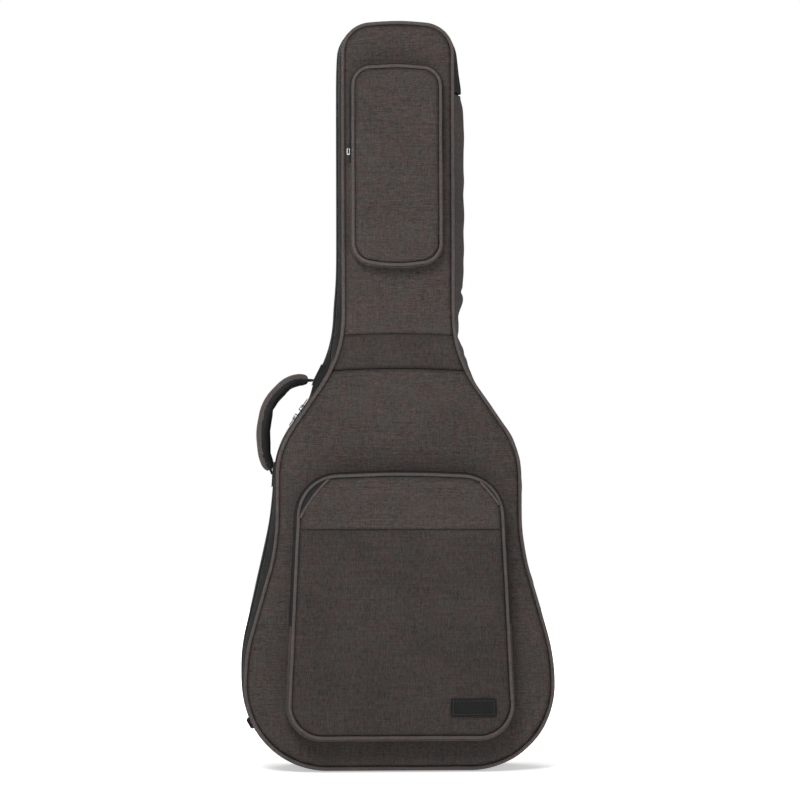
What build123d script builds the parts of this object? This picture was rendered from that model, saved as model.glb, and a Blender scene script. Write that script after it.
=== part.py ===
from build123d import *
import os
from math import atan, cos, degrees, hypot, sin, tan

# A padded gig bag for a full-size acoustic guitar, standing on its lower end. Millimetres.
# +X is to the right seen from the front, the front faces -Y, +Z is up. The origin is the centre
# of the flat bottom face. The bag is two trays that meet at a zipper: a deep back shell and a
# shallow lid, which hinges along the right side.

os.makedirs("parts", exist_ok=True)

# ---- the bag's outline, right half, from the bottom up ----
HEIGHT = 1097.0
LOWER_HALF = 227.0  # half width at the lower bout
UPPER_HALF = 180.0  # half width at the upper bout
NECK_HALF = 83.5  # half width at the neck and head
LOWER_TOP = 165.0  # height where the lower bout begins to close in
UPPER_BOTTOM = 328.0  # height where the upper bout begins
UPPER_TOP = 466.0  # height where the shoulder begins
NECK_BOTTOM = 606.0  # height where the shoulder meets the neck
OUTLINE_RADII = (123.0, 270.0, 330.0, 130.0, 180.0, 46.0)
HEAD_BOW = 8.0  # how far the top's corners lie below its middle
HEAD_BOW_RADIUS = 400.0

# ---- depth ----
SHELL_DEPTH = 122.0  # back shell, at the bottom
LID_DEPTH = 27.0
TAPER = 60.0  # how much less deep the bag is at the top than at the bottom
TILT = atan(TAPER / HEIGHT)  # lean of the zipper plane and of the front
JOIN = 0.3  # half of the gap between lid and shell

# ---- the padded wall, from outside to inside ----
FABRIC = 2.0
FOAM = 10.0
LINING = 1.5
WALL = FABRIC + FOAM + LINING
PIPING_R = 3.0
PIPING_INSET = 3.1  # piping centre, in from the side and down from the face
SEAM = 6.3  # room that the piping takes from each of its two panels

# ---- zipper ----
TAPE_EDGE = 9.0  # outer edge of the tape, from the zipper's middle
BAND_EDGE = 27.0  # rear edge of the black band behind the zipper
TEETH_EDGE = 1.6
TEETH_INSET = 0.3  # the teeth lie this much below the band, and the tape TAPE_INSET
TAPE_INSET = 0.8
ZIPPER_BACK = 1.5
HINGE_LOW = 150.0  # the zipper stops here on the right and above HINGE_HIGH
HINGE_HIGH = 990.0

# ---- seams across the front ----
LOWER_SEAM = 582.0
UPPER_SEAM = 633.0

# ---- large pocket ----
POCKET_LOW = 46.0
POCKET_HIGH = 433.0
POCKET_LOW_HALF = 166.0
POCKET_HIGH_HALF = 148.0
POCKET_RADII = (50.0, 62.0)
POCKET_BOW = 6.0
POCKET_BOW_RADIUS = 1200.0
POCKET_DEPTH = 45.0
POCKET_FOLD = 212.0  # the zipper's two ends, where the open face folds down
POCKET_YOKE = 349.0  # seam across the face
POCKET_ZIP = 21.0  # middle of the zipper, out from the lid's face
WEDGE_IN = 98.0  # where the corner wedges begin, out from the middle
WEDGE_DOWN = 66.0  # how far they reach below the pocket's top
WEDGE_WIDTH = 13.0
TRIM_THICK = 0.8
LABEL_SIZE = (66.0, 26.0)
LABEL_RADIUS = 1.5
LABEL_CENTRE = (104.0, 92.0)

# ---- headstock pocket ----
HEAD_LOW = 730.0
HEAD_HIGH = 1030.0
HEAD_HALF = 67.0
HEAD_X = -3.0  # the pocket sits this far off centre
HEAD_RADII = (32.0, 30.0)
HEAD_POCKET_BOW = 5.0
HEAD_POCKET_LOW_BOW = 9.0
HEAD_POCKET_RADIUS = 200.0
HEAD_DEPTH = 27.0
HEAD_FOLD = 885.0
HEAD_ZIP = 13.5
POCKET_CLOTH = 2.5

# ---- slider and pull, the same on every zipper ----
SLIDER_LENGTH = 12.0
SLIDER_WIDTH = 9.0
SLIDER_PLATE = 1.8
SLIDER_LIFT = 0.5  # underside of the plate above the band's surface
BRIDGE_WIDTH = 2.6
BRIDGE_LENGTH = 9.0
BRIDGE_HEIGHT = 3.4
BRIDGE_WALL = 1.0
MAIN_SLIDERS = (("upper", 97.0), ("lower", 113.0))  # distance down the shoulder
LARGE_SLIDER = 14.0  # height over the fold
HEAD_SLIDER = 16.0
PULL_WIRE = 0.65
PULL_LENGTH = 15.0
PULL_WIDTH = 8.4

# ---- carry handle ----
HANDLE_Y = 14.0
HANDLE_WIDTH = 36.0
HANDLE_THICK = 15.0
HANDLE_CORE = 5.0
HANDLE_TOP = (-130.0, 571.0)
HANDLE_BENDS = ((-163.0, 571.0), (-193.0, 545.0), (-201.0, 490.0))
HANDLE_BOTTOM = (-192.8, 453.0)
HANDLE_RADII = (30.0, 48.0, 70.0)
HANDLE_END = 14.0  # width of the core, and about that of the grip's ends
HANDLE_EASE = 28.0  # length over which the grip widens
PATCH_THICK = 1.5
PATCH_GAP = 0.05
PATCH_WIDTH = 44.0
PATCHES = ((554.0, 587.0), (410.0, 448.0))  # lower and upper end of each patch

# ---- backpack straps, right one; the left is its mirror image ----
STRAP_TOP = (50.0, 570.0)
STRAP_END = (112.0, 330.0)
STRAP_WIDTH = 58.0
STRAP_THICK = 12.0
STRAP_GAP = 3.0  # between the back panel and the pad
TAB_CENTRE = (205.0, 64.0)
TAB_THICK = 3.0
TAB_INSIDE = 40.0  # how far the tab reaches in from the edge, and out past it
TAB_PROUD = 9.0
TAB_ROOT, TAB_TIP = 22.0, 9.0  # half widths
STRAP_RADIUS = 22.0
ANCHOR_ENDS = ((46.0, 618.0), (51.0, 578.0))
ANCHOR_WIDTH, ANCHOR_THICK, ANCHOR_RADIUS = 50.0, 2.5, 6.0
BUCKLE = 4.0
BUCKLE_WIDTH, BUCKLE_LENGTH, BUCKLE_RADIUS = 34.0, 22.0, 4.0
BUCKLE_OVER = 14.0  # how far the buckle lies over the pad
WEB_WIDTH = 25.0
WEB_THICK = 2.0
WEB_OVER = 22.0  # length of webbing past the pad's end
WEB_GAP = 1.5  # over the buckle
WEB_FOOT = 2.4  # over the tab

# ---- inside ----
CRADLE_Z = 690.0
CRADLE_WIDE, CRADLE_DEEP, CRADLE_HIGH = 126.0, 30.0, 90.0
SADDLE_R = 26.0
SADDLE_OUT = 4.0  # how far its centre lies in front of the cradle
INNER_STRAP = (112.0, 2.4, 38.0)
INNER_GAP = 1.0

FAR = 2000.0  # longer than anything here

BACK_Y = SHELL_DEPTH / 2
SPLIT_Y = -SHELL_DEPTH / 2
FRONT = LID_DEPTH
STRETCH = 1 / cos(TILT)

# Local axes for both: x across, y up, z out towards the front.
SHELL = Plane(origin=(0, BACK_Y, 0), x_dir=(1, 0, 0), z_dir=(0, -1, 0)).location
LID = Plane(origin=(0, SPLIT_Y, 0), x_dir=(1, 0, 0), z_dir=(0, -cos(TILT), sin(TILT))).location


def save(shape, name):
    """Write one node, every solid of it, to its own STEP file."""
    solids = shape.solids()
    export_step(solids[0] if len(solids) == 1 else Compound(children=solids), f"parts/{name}.step")


def closed_outline(right, radii, top_bow, top_radius, low_bow=0.0, low_radius=0.0):
    """A face symmetric about x = 0, from its right half's corners, bottom first.

    Its top edge bows up, and its bottom edge may bow down: each bow is how far the two corners
    lie from the level of the middle.
    """
    corners = [tuple(point) for point in right]
    corners[0] = (corners[0][0], corners[0][1] + low_bow)
    corners[-1] = (corners[-1][0], corners[-1][1] - top_bow)
    left = [(-x, y) for x, y in reversed(corners)]
    line = [*corners, (0, right[-1][1]), *left]
    rounding = [*radii, top_radius, *reversed(radii)]
    if low_bow:
        line.append((0, right[0][1]))
        rounding.append(low_radius)
    return make_face(FilletPolyline(*line, radius=rounding, close=True))


def bag_outline(stretch):
    """The bag's outline; the lid's is stretched, because its plane leans back."""
    right = [
        (LOWER_HALF, 0),
        (LOWER_HALF, LOWER_TOP),
        (UPPER_HALF, UPPER_BOTTOM),
        (UPPER_HALF, UPPER_TOP),
        (NECK_HALF, NECK_BOTTOM),
        (NECK_HALF, HEIGHT),
    ]
    stretched = [(x, y * stretch) for x, y in right]
    return closed_outline(stretched, OUTLINE_RADII, HEAD_BOW, HEAD_BOW_RADIUS)


def slab(face, inset, low, high):
    """The face, moved in by inset, as a plate from low to high."""
    inner = offset(face, amount=-inset) if inset else face
    return Pos(0, 0, low) * extrude(inner, high - low)


def ring(face, outer, inner, low, high):
    """A wall that follows the face's edge, from outer to inner inset and from low to high."""
    return slab(face, outer, low, high) - slab(face, inner, low - 1, high + 1)


def block(x_low, x_high, y_low, y_high, z_low=-FAR, z_high=FAR):
    """A box between limits."""
    size = (x_high - x_low, y_high - y_low, z_high - z_low)
    centre = ((x_low + x_high) / 2, (y_low + y_high) / 2, (z_low + z_high) / 2)
    return Pos(*centre) * Box(*size)


def above(level):
    return block(-FAR, FAR, level, FAR)


def below(level):
    return block(-FAR, FAR, -FAR, level)


def piping(face, height):
    """A round cord along the face's edge, its centre at the piping inset."""
    path = offset(face, amount=-PIPING_INSET).face().outer_wire()
    path = Pos(0, 0, height) * path
    return sweep(Plane(origin=path @ 0, z_dir=path % 0) * Circle(PIPING_R), path=path)


def hinge_side():
    """The right side, where cloth joins lid and shell in place of the zipper."""
    return block(0, FAR, HINGE_LOW, HINGE_HIGH)


def in_front_of_split(gap):
    """The space in front of a plane that lies gap behind the zipper plane."""
    return LID * block(-FAR, FAR, -FAR, FAR, -gap, FAR)


def make_shell():
    """The deep back tray: back panel, gusset, padding, lining, piping and its zipper half."""
    face = bag_outline(1.0)
    side = LID * hinge_side()
    deep = SHELL_DEPTH + 10
    save(SHELL * slab(face, SEAM, 0, FABRIC), "back_panel")
    save(SHELL * slab(face, SEAM, FABRIC, FABRIC + FOAM), "back_panel_foam")
    save(SHELL * piping(face, PIPING_INSET), "back_piping")
    outer = SHELL * ring(face, 0, FABRIC, SEAM, deep)
    zipper_side = (outer - side) - in_front_of_split(TAPE_EDGE)
    save(zipper_side & in_front_of_split(BAND_EDGE), "rear_zipper_band")
    save(zipper_side - in_front_of_split(BAND_EDGE), "rear_gusset")
    save((outer & side) - in_front_of_split(JOIN), "rear_hinge_gusset")
    foam = SHELL * ring(face, FABRIC, FABRIC + FOAM, FABRIC + FOAM, deep)
    save(foam - in_front_of_split(JOIN), "rear_gusset_foam")
    lining = ring(face, FABRIC + FOAM, WALL, FABRIC + FOAM, deep) + slab(face, WALL, FABRIC + FOAM, WALL)
    save(SHELL * lining - in_front_of_split(JOIN), "back_lining")
    zipper = half_zipper(bag_outline(STRETCH), 0, -1, TAPE_EDGE)
    save(LID * (zipper - hinge_side()), "rear_zipper")


def half_zipper(face, middle, side, edge):
    """One tape with its row of teeth, on one side of the zipper's middle height."""
    low, high = sorted((middle + side * JOIN, middle + side * TEETH_EDGE))
    teeth = ring(face, TEETH_INSET, ZIPPER_BACK, low, high)
    low, high = sorted((middle + side * TEETH_EDGE, middle + side * edge))
    return teeth + ring(face, TAPE_INSET, ZIPPER_BACK, low, high)


def make_lid():
    """The shallow front tray."""
    face = bag_outline(STRETCH)
    panel = slab(face, SEAM, FRONT - FABRIC, FRONT)
    save(LID * (panel & below(LOWER_SEAM)), "front_body_panel")
    save(LID * (panel & above(LOWER_SEAM) & below(UPPER_SEAM)), "front_neck_band")
    save(LID * (panel & above(UPPER_SEAM)), "front_neck_panel")
    save(LID * slab(face, SEAM, FRONT - FABRIC - FOAM, FRONT - FABRIC), "front_panel_foam")
    save(LID * piping(face, FRONT - PIPING_INSET), "front_piping")
    band = ring(face, 0, FABRIC, JOIN, FRONT - SEAM)
    save(LID * (band - hinge_side() - block(-FAR, FAR, -FAR, FAR, 0, TAPE_EDGE)), "front_zipper_band")
    save(LID * (band & hinge_side()), "front_hinge_gusset")
    save(LID * ring(face, FABRIC, FABRIC + FOAM, JOIN, FRONT - FABRIC - FOAM), "front_gusset_foam")
    walls = ring(face, FABRIC + FOAM, WALL, JOIN, FRONT - FABRIC - FOAM)
    save(LID * (walls + slab(face, WALL, FRONT - WALL, FRONT - FABRIC - FOAM)), "front_lining")
    save(LID * (half_zipper(face, 0, 1, TAPE_EDGE) - hinge_side()), "front_zipper")


def make_pocket(name, face, depth, zip_middle, fold, yoke=None):
    """A box pocket on the lid's face, whose zipper runs over its top between two ends at fold."""
    flap = above(fold + JOIN)
    lower = below(fold - JOIN)
    base = FRONT
    rim = base + depth - SEAM
    middle = base + zip_middle
    top = base + depth
    save(LID * (ring(face, 0, POCKET_CLOTH, base, rim) & lower), f"{name}_pocket_gusset")
    rear = ring(face, 0, POCKET_CLOTH, base, middle - TAPE_EDGE / 2)
    save(LID * (rear & above(fold - JOIN)), f"{name}_pocket_rear_band")
    tape = TAPE_EDGE / 2
    if middle + tape < rim - 3:
        front = ring(face, 0, POCKET_CLOTH, middle + tape, rim)
        save(LID * (front & flap), f"{name}_pocket_flap_band")
    else:
        tape = rim - middle
    rear_half = half_zipper(face, middle, -1, TAPE_EDGE / 2)
    save(LID * (rear_half & above(fold - JOIN)), f"{name}_pocket_rear_zipper")
    save(LID * (half_zipper(face, middle, 1, tape) & flap), f"{name}_pocket_flap_zipper")
    cord = piping(face, top - PIPING_INSET)
    save(LID * (cord & lower), f"{name}_pocket_piping")
    save(LID * (cord & flap), f"{name}_pocket_flap_piping")
    panel = slab(face, SEAM, top - POCKET_CLOTH, top)
    save(LID * (panel & lower), f"{name}_pocket_face")
    if yoke:
        save(LID * (panel & flap & below(yoke)), f"{name}_pocket_flap_face")
        save(LID * (panel & above(yoke)), f"{name}_pocket_yoke")
    else:
        save(LID * (panel & flap), f"{name}_pocket_flap_face")


def large_outline():
    right = [(POCKET_LOW_HALF, POCKET_LOW), (POCKET_HIGH_HALF, POCKET_HIGH)]
    return closed_outline(right, POCKET_RADII, POCKET_BOW, POCKET_BOW_RADIUS)


def head_outline():
    right = [(HEAD_HALF, HEAD_LOW), (HEAD_HALF, HEAD_HIGH)]
    bows = (HEAD_POCKET_BOW, HEAD_POCKET_RADIUS)
    return Pos(HEAD_X, 0, 0) * closed_outline(right, HEAD_RADII, *bows, HEAD_POCKET_LOW_BOW, HEAD_POCKET_RADIUS)


def make_pocket_trim():
    """The two black wedges at the large pocket's top corners, and its blank woven label."""
    top = FRONT + POCKET_DEPTH
    corner = offset(large_outline(), amount=-SEAM - 1).face()
    arc_side = offset(large_outline(), amount=-SEAM - WEDGE_WIDTH).face()
    strip = extrude(corner - arc_side, TRIM_THICK)
    corners = strip & above(POCKET_HIGH - WEDGE_DOWN)
    wedges = corners - block(-WEDGE_IN, WEDGE_IN, 0, FAR)
    save(LID * (Pos(0, 0, top) * wedges), "large_pocket_wedges")
    label = extrude(RectangleRounded(*LABEL_SIZE, LABEL_RADIUS), TRIM_THICK)
    save(LID * (Pos(*LABEL_CENTRE, top) * label), "woven_label")


def slider_parts():
    """A slider and its ring pull, x along the zipper, z out; the pull's bar is at the bridge."""
    plate = extrude(RectangleRounded(SLIDER_LENGTH, SLIDER_WIDTH, 3.0), SLIDER_PLATE)
    bridge = Box(BRIDGE_LENGTH, BRIDGE_WIDTH, BRIDGE_HEIGHT, align=(Align.CENTER, Align.CENTER, Align.MIN))
    window = Box(
        BRIDGE_LENGTH - 2 * BRIDGE_WALL - 1,
        FAR,
        BRIDGE_HEIGHT - BRIDGE_WALL,
        align=(Align.CENTER, Align.CENTER, Align.MIN),
    )
    body = Pos(0, 0, SLIDER_LIFT) * (plate + Pos(0, 0, SLIDER_PLATE) * (bridge - window))
    end = PULL_WIDTH / 2
    path = FilletPolyline(
        (0, -end), (PULL_LENGTH, -end), (PULL_LENGTH, end), (0, end), radius=end - 1.2, close=True
    )
    wire = Pos(0, 0, bar_height()) * path.wire()
    pull = sweep(Plane(origin=wire @ 0, z_dir=wire % 0) * Circle(PULL_WIRE), path=wire)
    return body, pull


def bar_height():
    """Height of a pull's bar, and of its hinge, over the band."""
    return SLIDER_LIFT + SLIDER_PLATE + (BRIDGE_HEIGHT - BRIDGE_WALL) / 2


def shoulder_point(distance):
    """A point on the left shoulder, distance down from where it meets the neck."""
    run, drop = UPPER_HALF - NECK_HALF, NECK_BOTTOM - UPPER_TOP
    length = hypot(run, drop)
    return (-NECK_HALF - run * distance / length, (NECK_BOTTOM - drop * distance / length) * STRETCH)


def make_sliders():
    """Two back-to-back sliders on the left shoulder, and one at the left end of each pocket zipper."""
    body, pull = slider_parts()
    up = shoulder_point(0)
    down = shoulder_point(1)
    along = Vector(up[0] - down[0], up[1] - down[1], 0).normalized()
    out = Vector(-along.Y, along.X, 0)
    for (name, distance), way in zip(MAIN_SLIDERS, (along, -along)):
        x, y = shoulder_point(distance)
        place = LID * Plane(origin=(x, y, 0), x_dir=way, z_dir=out).location
        save(place * body, f"main_slider_{name}")
        save(place * pull, f"main_pull_{name}")
    lean = atan((POCKET_LOW_HALF - POCKET_HIGH_HALF) / (POCKET_HIGH - POCKET_LOW))
    height = POCKET_FOLD + LARGE_SLIDER
    x = -POCKET_LOW_HALF + (height - POCKET_LOW) * tan(lean)
    place_pocket_slider("large", x, height, FRONT + POCKET_ZIP, lean, body, pull)
    place_pocket_slider("head", HEAD_X - HEAD_HALF, HEAD_FOLD + HEAD_SLIDER, FRONT + HEAD_ZIP, 0, body, pull)


def place_pocket_slider(name, x, y, z, lean, body, pull):
    along = Vector(sin(lean), cos(lean), 0)
    out = Vector(-along.Y, along.X, 0)
    place = LID * Plane(origin=(x, y, z), x_dir=along, z_dir=out).location
    save(place * body, f"{name}_pocket_slider")
    save(place * pull, f"{name}_pocket_pull")


def make_handle():
    """A padded grip round a webbing core, and the two sewn patches that its ends hang from."""
    flat = FilletPolyline(HANDLE_TOP, *HANDLE_BENDS, HANDLE_BOTTOM, radius=HANDLE_RADII)
    path = Plane.XZ.location * flat.wire()
    cut = Plane(origin=path @ 0, x_dir=(0, 1, 0), z_dir=path % 0)
    grip = sweep(cut * RectangleRounded(HANDLE_WIDTH, HANDLE_THICK, 6.0), path=path)
    core = sweep(cut * Rectangle(HANDLE_END, HANDLE_CORE), path=path)
    grip = (grip & handle_plan()) - core
    save(Pos(0, HANDLE_Y, 0) * grip, "handle_grip")
    save(Pos(0, HANDLE_Y, 0) * core, "handle_webbing")
    middle = BACK_Y - HANDLE_Y
    wrap = ring(
        bag_outline(1.0),
        -PATCH_GAP - PATCH_THICK,
        -PATCH_GAP,
        middle - PATCH_WIDTH / 2,
        middle + PATCH_WIDTH / 2,
    )
    patches = [wrap & block(-FAR, 0, low, high) for low, high in PATCHES]
    save(SHELL * (patches[0] + patches[1]), "handle_patches")


def handle_plan():
    """The grip's shape seen square on: full width in the middle, narrow at both ends."""
    run, drop = HANDLE_BOTTOM[0] - HANDLE_TOP[0], HANDLE_BOTTOM[1] - HANDLE_TOP[1]
    length = hypot(run, drop)
    along = Vector(run / length, 0, drop / length)
    wide, end = HANDLE_WIDTH / 2 + 1, HANDLE_END / 2 + 1
    half = [(-5, end), (HANDLE_EASE, wide), (length - HANDLE_EASE, wide), (length + 5, end)]
    corners = half + [(x, -y) for x, y in reversed(half)]
    plan = extrude(make_face(Polyline(*corners, close=True)), 150, both=True)
    out = Vector(-along.Z, 0, along.X)
    place = Plane(origin=(HANDLE_TOP[0], 0, HANDLE_TOP[1]), x_dir=along, z_dir=out)
    return place.location * plan


def slanted(start, finish, width, low, high, radius):
    """A straight strap on the back, from start to finish in x and z, between two depths."""
    run, drop = finish[0] - start[0], start[1] - finish[1]
    length = hypot(run, drop)
    turn = Rot(0, 0, degrees(atan(run / drop)))
    centre = Pos((start[0] + finish[0]) / 2, (start[1] + finish[1]) / 2, 0)
    flat = centre * turn * RectangleRounded(width, length, radius)
    solid = extrude(flat, high - low)
    return Pos(0, BACK_Y + high, 0) * (Plane.XZ.location * solid)


def strap_tab():
    """The cloth tab in the back seam of the lower right corner, pointing away from its arc."""
    radius = OUTLINE_RADII[0]
    centre = Vector(LOWER_HALF - radius, radius, 0)
    out = (Vector(TAB_CENTRE[0], TAB_CENTRE[1], 0) - centre).normalized()
    side = Vector(-out.Y, out.X, 0)
    root = centre + out * (radius - TAB_INSIDE)
    tip = centre + out * (radius + TAB_PROUD)
    corners = [root - side * TAB_ROOT, tip - side * TAB_TIP, tip + side * TAB_TIP, root + side * TAB_ROOT]
    face = make_face(Polyline(*[(p.X, p.Y) for p in corners], close=True))
    return Pos(0, BACK_Y + TAB_THICK + JOIN, 0) * (Plane.XZ.location * extrude(face, TAB_THICK))


def strap_webbing(top_y, bottom_y):
    """Flat webbing from the tab up to a little past the pad's end."""
    low = Vector(TAB_CENTRE[0], bottom_y, TAB_CENTRE[1])
    high = Vector(STRAP_END[0], top_y, STRAP_END[1])
    along = (high - low).normalized()
    across = along.cross(Vector(0, 1, 0)).normalized()
    length = (high - low).length + WEB_OVER
    flat = Pos(0, length / 2, 0) * Rectangle(WEB_WIDTH, length)
    place = Plane(origin=low, x_dir=across, z_dir=across.cross(along))
    return place.location * extrude(flat, WEB_THICK)


def make_straps():
    """Two backpack straps: a pad with a ladder buckle, and webbing from a tab at the lower corner."""
    pad_high = STRAP_GAP + STRAP_THICK
    pad = slanted(STRAP_TOP, STRAP_END, STRAP_WIDTH, STRAP_GAP, pad_high, STRAP_RADIUS)
    down = (Vector(*TAB_CENTRE) - Vector(*STRAP_END)).normalized()
    start = Vector(*STRAP_END) - down * BUCKLE_OVER
    finish = start + down * BUCKLE_LENGTH
    ends = ((start.X, start.Y), (finish.X, finish.Y))
    buckle = slanted(*ends, BUCKLE_WIDTH, pad_high, pad_high + BUCKLE, BUCKLE_RADIUS)
    top_y = BACK_Y + pad_high + BUCKLE + WEB_GAP
    web = strap_webbing(top_y, BACK_Y + TAB_THICK + JOIN + WEB_FOOT)
    anchor = slanted(*ANCHOR_ENDS, ANCHOR_WIDTH, 0, ANCHOR_THICK, ANCHOR_RADIUS)
    for part, solid in (("pad", pad), ("buckle", buckle), ("webbing", web)):
        save(solid, f"strap_{part}_right")
        save(mirror(solid, about=Plane.YZ), f"strap_{part}_left")
    for part, solid in (("tabs", strap_tab()), ("anchors", anchor)):
        save(Compound(children=[solid, mirror(solid, about=Plane.YZ)]), f"strap_{part}")


def make_inside():
    """Neck cradle and its strap, on the lining."""
    inner = BACK_Y - WALL
    cradle = Pos(0, inner - CRADLE_DEEP / 2, CRADLE_Z) * Box(CRADLE_WIDE, CRADLE_DEEP, CRADLE_HIGH)
    saddle = Pos(0, inner - CRADLE_DEEP - SADDLE_OUT, CRADLE_Z) * Cylinder(SADDLE_R, 2 * CRADLE_HIGH)
    save(cradle - saddle, "neck_cradle")
    strap_y = inner - CRADLE_DEEP - INNER_GAP - INNER_STRAP[1] / 2
    save(Pos(0, strap_y, CRADLE_Z) * Box(*INNER_STRAP), "neck_strap")


make_shell()
make_lid()
make_pocket("large", large_outline(), POCKET_DEPTH, POCKET_ZIP, POCKET_FOLD, POCKET_YOKE)
make_pocket("head", head_outline(), HEAD_DEPTH, HEAD_ZIP, HEAD_FOLD)
make_pocket_trim()
make_sliders()
make_handle()
make_straps()
make_inside()
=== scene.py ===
from math import atan, copysign, cos, hypot, pi, radians, sin, tan

import bmesh
import bpy
import numpy as np
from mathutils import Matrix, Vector, noise
from mathutils.geometry import delaunay_2d_cdt


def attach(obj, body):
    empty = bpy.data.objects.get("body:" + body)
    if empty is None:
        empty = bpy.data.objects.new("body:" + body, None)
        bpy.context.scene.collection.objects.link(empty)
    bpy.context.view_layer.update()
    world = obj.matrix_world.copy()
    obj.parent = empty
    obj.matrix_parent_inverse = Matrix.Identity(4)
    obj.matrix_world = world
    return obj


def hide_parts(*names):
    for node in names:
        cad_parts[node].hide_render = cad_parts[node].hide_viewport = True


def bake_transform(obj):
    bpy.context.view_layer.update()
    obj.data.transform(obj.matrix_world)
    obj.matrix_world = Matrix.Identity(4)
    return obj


# The looks of a padded gig bag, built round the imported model. Sizes are in millimetres, as in
# part.py, until piece() turns them into metres. Colours are linear red, green and blue.

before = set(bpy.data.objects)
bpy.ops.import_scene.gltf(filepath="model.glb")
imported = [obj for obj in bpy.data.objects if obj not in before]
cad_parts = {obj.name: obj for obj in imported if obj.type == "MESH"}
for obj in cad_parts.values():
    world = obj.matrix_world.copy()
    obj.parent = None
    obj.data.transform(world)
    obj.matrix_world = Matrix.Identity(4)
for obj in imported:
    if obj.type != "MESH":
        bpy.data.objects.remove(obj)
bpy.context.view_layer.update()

MM = 0.001

# ---- driving sizes, the same as part.py's ----
HEIGHT = 1097.0
LOWER_HALF, UPPER_HALF, NECK_HALF = 227.0, 180.0, 83.5
LOWER_TOP, UPPER_BOTTOM, UPPER_TOP, NECK_BOTTOM = 165.0, 328.0, 466.0, 606.0
OUTLINE_RADII = (123.0, 270.0, 330.0, 130.0, 180.0, 46.0)
HEAD_BOW, HEAD_BOW_RADIUS = 8.0, 400.0
BACK_Y, SPLIT_Y = 61.0, -61.0
FRONT = 27.0
TILT = atan(60.0 / HEIGHT)
STRETCH = 1 / cos(TILT)
WALL = 13.5
PIPING_INSET = 3.1
BAND_EDGE = 27.0
PANEL_INSET = 5.4
HINGE_LOW, HINGE_HIGH = 150.0, 990.0
LOWER_SEAM, UPPER_SEAM = 582.0, 633.0
POCKET_LOW, POCKET_HIGH, POCKET_FOLD, POCKET_YOKE = 46.0, 433.0, 212.0, 349.0
POCKET_LOW_HALF, POCKET_HIGH_HALF = 166.0, 148.0
POCKET_RADII = (50.0, 62.0)
POCKET_BOW, POCKET_BOW_RADIUS = 6.0, 1200.0
POCKET_TOP, POCKET_ZIP = FRONT + 45.0, FRONT + 21.0
LABEL_RISE = 3.5
HEAD_LOW, HEAD_HIGH, HEAD_FOLD = 730.0, 1030.0, 885.0
HEAD_HALF, HEAD_X = 67.0, -3.0
HEAD_RADII = (32.0, 30.0)
HEAD_POCKET_BOW, HEAD_POCKET_LOW_BOW, HEAD_POCKET_RADIUS = 5.0, 9.0, 200.0
HEAD_TOP, HEAD_ZIP = FRONT + 27.0, FRONT + 13.5
HANDLE_Y = 14.0
HANDLE_LINE = ((-130.0, 568.5), (-157.0, 568.5), (-190.0, 535.0), (-198.0, 492.0), (-194.0, 456.0))
HANDLE_RADII = (40.0, 60.0, 80.0)
HANDLE_FOOT = (-185.0, 437.0)
PATCHES = ((554.0, 587.0), (410.0, 448.0))
PATCH_WIDTH = 44.0
HANDLE_WIDTH, HANDLE_THICK = 36.0, 18.5
PATCH_STAND = 1.9
STRAP_TOP, STRAP_END = (50.0, 570.0), (112.0, 330.0)
PAD_HALF, PAD_RADIUS = 29.0, 22.0
PAD_BACK, PAD_FRONT = 4.4, 13.2
WEB_WIDTH, WEB_THICK = 25.0, 1.7
ROOT_WIDTH, ROOT_THICK = 38.0, 1.8
TAB_CENTRE = (205.0, 64.0)
TAB_DEEP, TAB_PROUD, TAB_ROOT_HALF, TAB_TIP_HALF = 38.0, 8.0, 20.0, 8.0
ANCHOR_HALF = 24.0
CRADLE_Z = 690.0
CRADLE_HALF, CRADLE_DEEP, CRADLE_HIGH = 63.0, 30.0, 90.0
SADDLE_RADIUS = 26.0

# ---- how finely the cloth is divided ----
EDGE_STEP = 3.5
PANEL_STEP = 6.0
POCKET_STEP = 5.0
PIPING_STEP = 3.0
TEETH_STEP = 2.6
STITCH_STEP = 3.4
SWELL_FRAMES = 20
BEYOND = 2000.0

# ---- the melange cloth: waves per metre, and each layer's share of the shade ----
THREAD_LONG, THREAD_FINE = 150.0, 950.0
SLUB_LONG, SLUB_FINE = 22.0, 800.0
STREAK_SHARE, THREAD_SHARE, FLECK_SHARE, SLUB_SHARE, CLOUD_SHARE = 0.42, 0.2, 0.12, 0.13, 0.10
SHADE_LOW, SHADE_HIGH = 0.39, 0.61
COOL_TINT, WARM_TINT = (0.97, 1.01, 1.02), (1.09, 0.98, 0.98)
RIDGES = 900.0

# ---- floor, light and camera, in metres and watts ----
FLOOR_Z = -0.001
FLOOR_RINGS = (1.0, 2.5, 4.2)
FLOOR_SIDES = 48
GLOW_FROM, GLOW_TO, GLOW_NEAR, GLOW_FAR = 0.5, 2.2, 0.5, 1.3
SURROUND_LIGHT = 0.2
LIGHT_TARGET = (0.0, 0.0, 0.5)
LIGHTS = (
    ("key", (-0.7, -2.5, 2.3), 1.1, 78.0),
    ("fill", (0.3, -3.4, 1.1), 1.6, 20.0),
    ("top", (0.0, 0.4, 3.2), 1.6, 24.0),
    ("rear", (-0.8, 3.0, 2.2), 1.8, 60.0),
)
CAMERA_TARGET = (0.0, -0.09, 0.5395)
CAMERA_DISTANCE, CAMERA_TURN, CAMERA_LENS, CAMERA_SENSOR = 5.5, 3.2, 170.6, 36.0


# ======================================================================================
# Materials
# ======================================================================================


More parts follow.
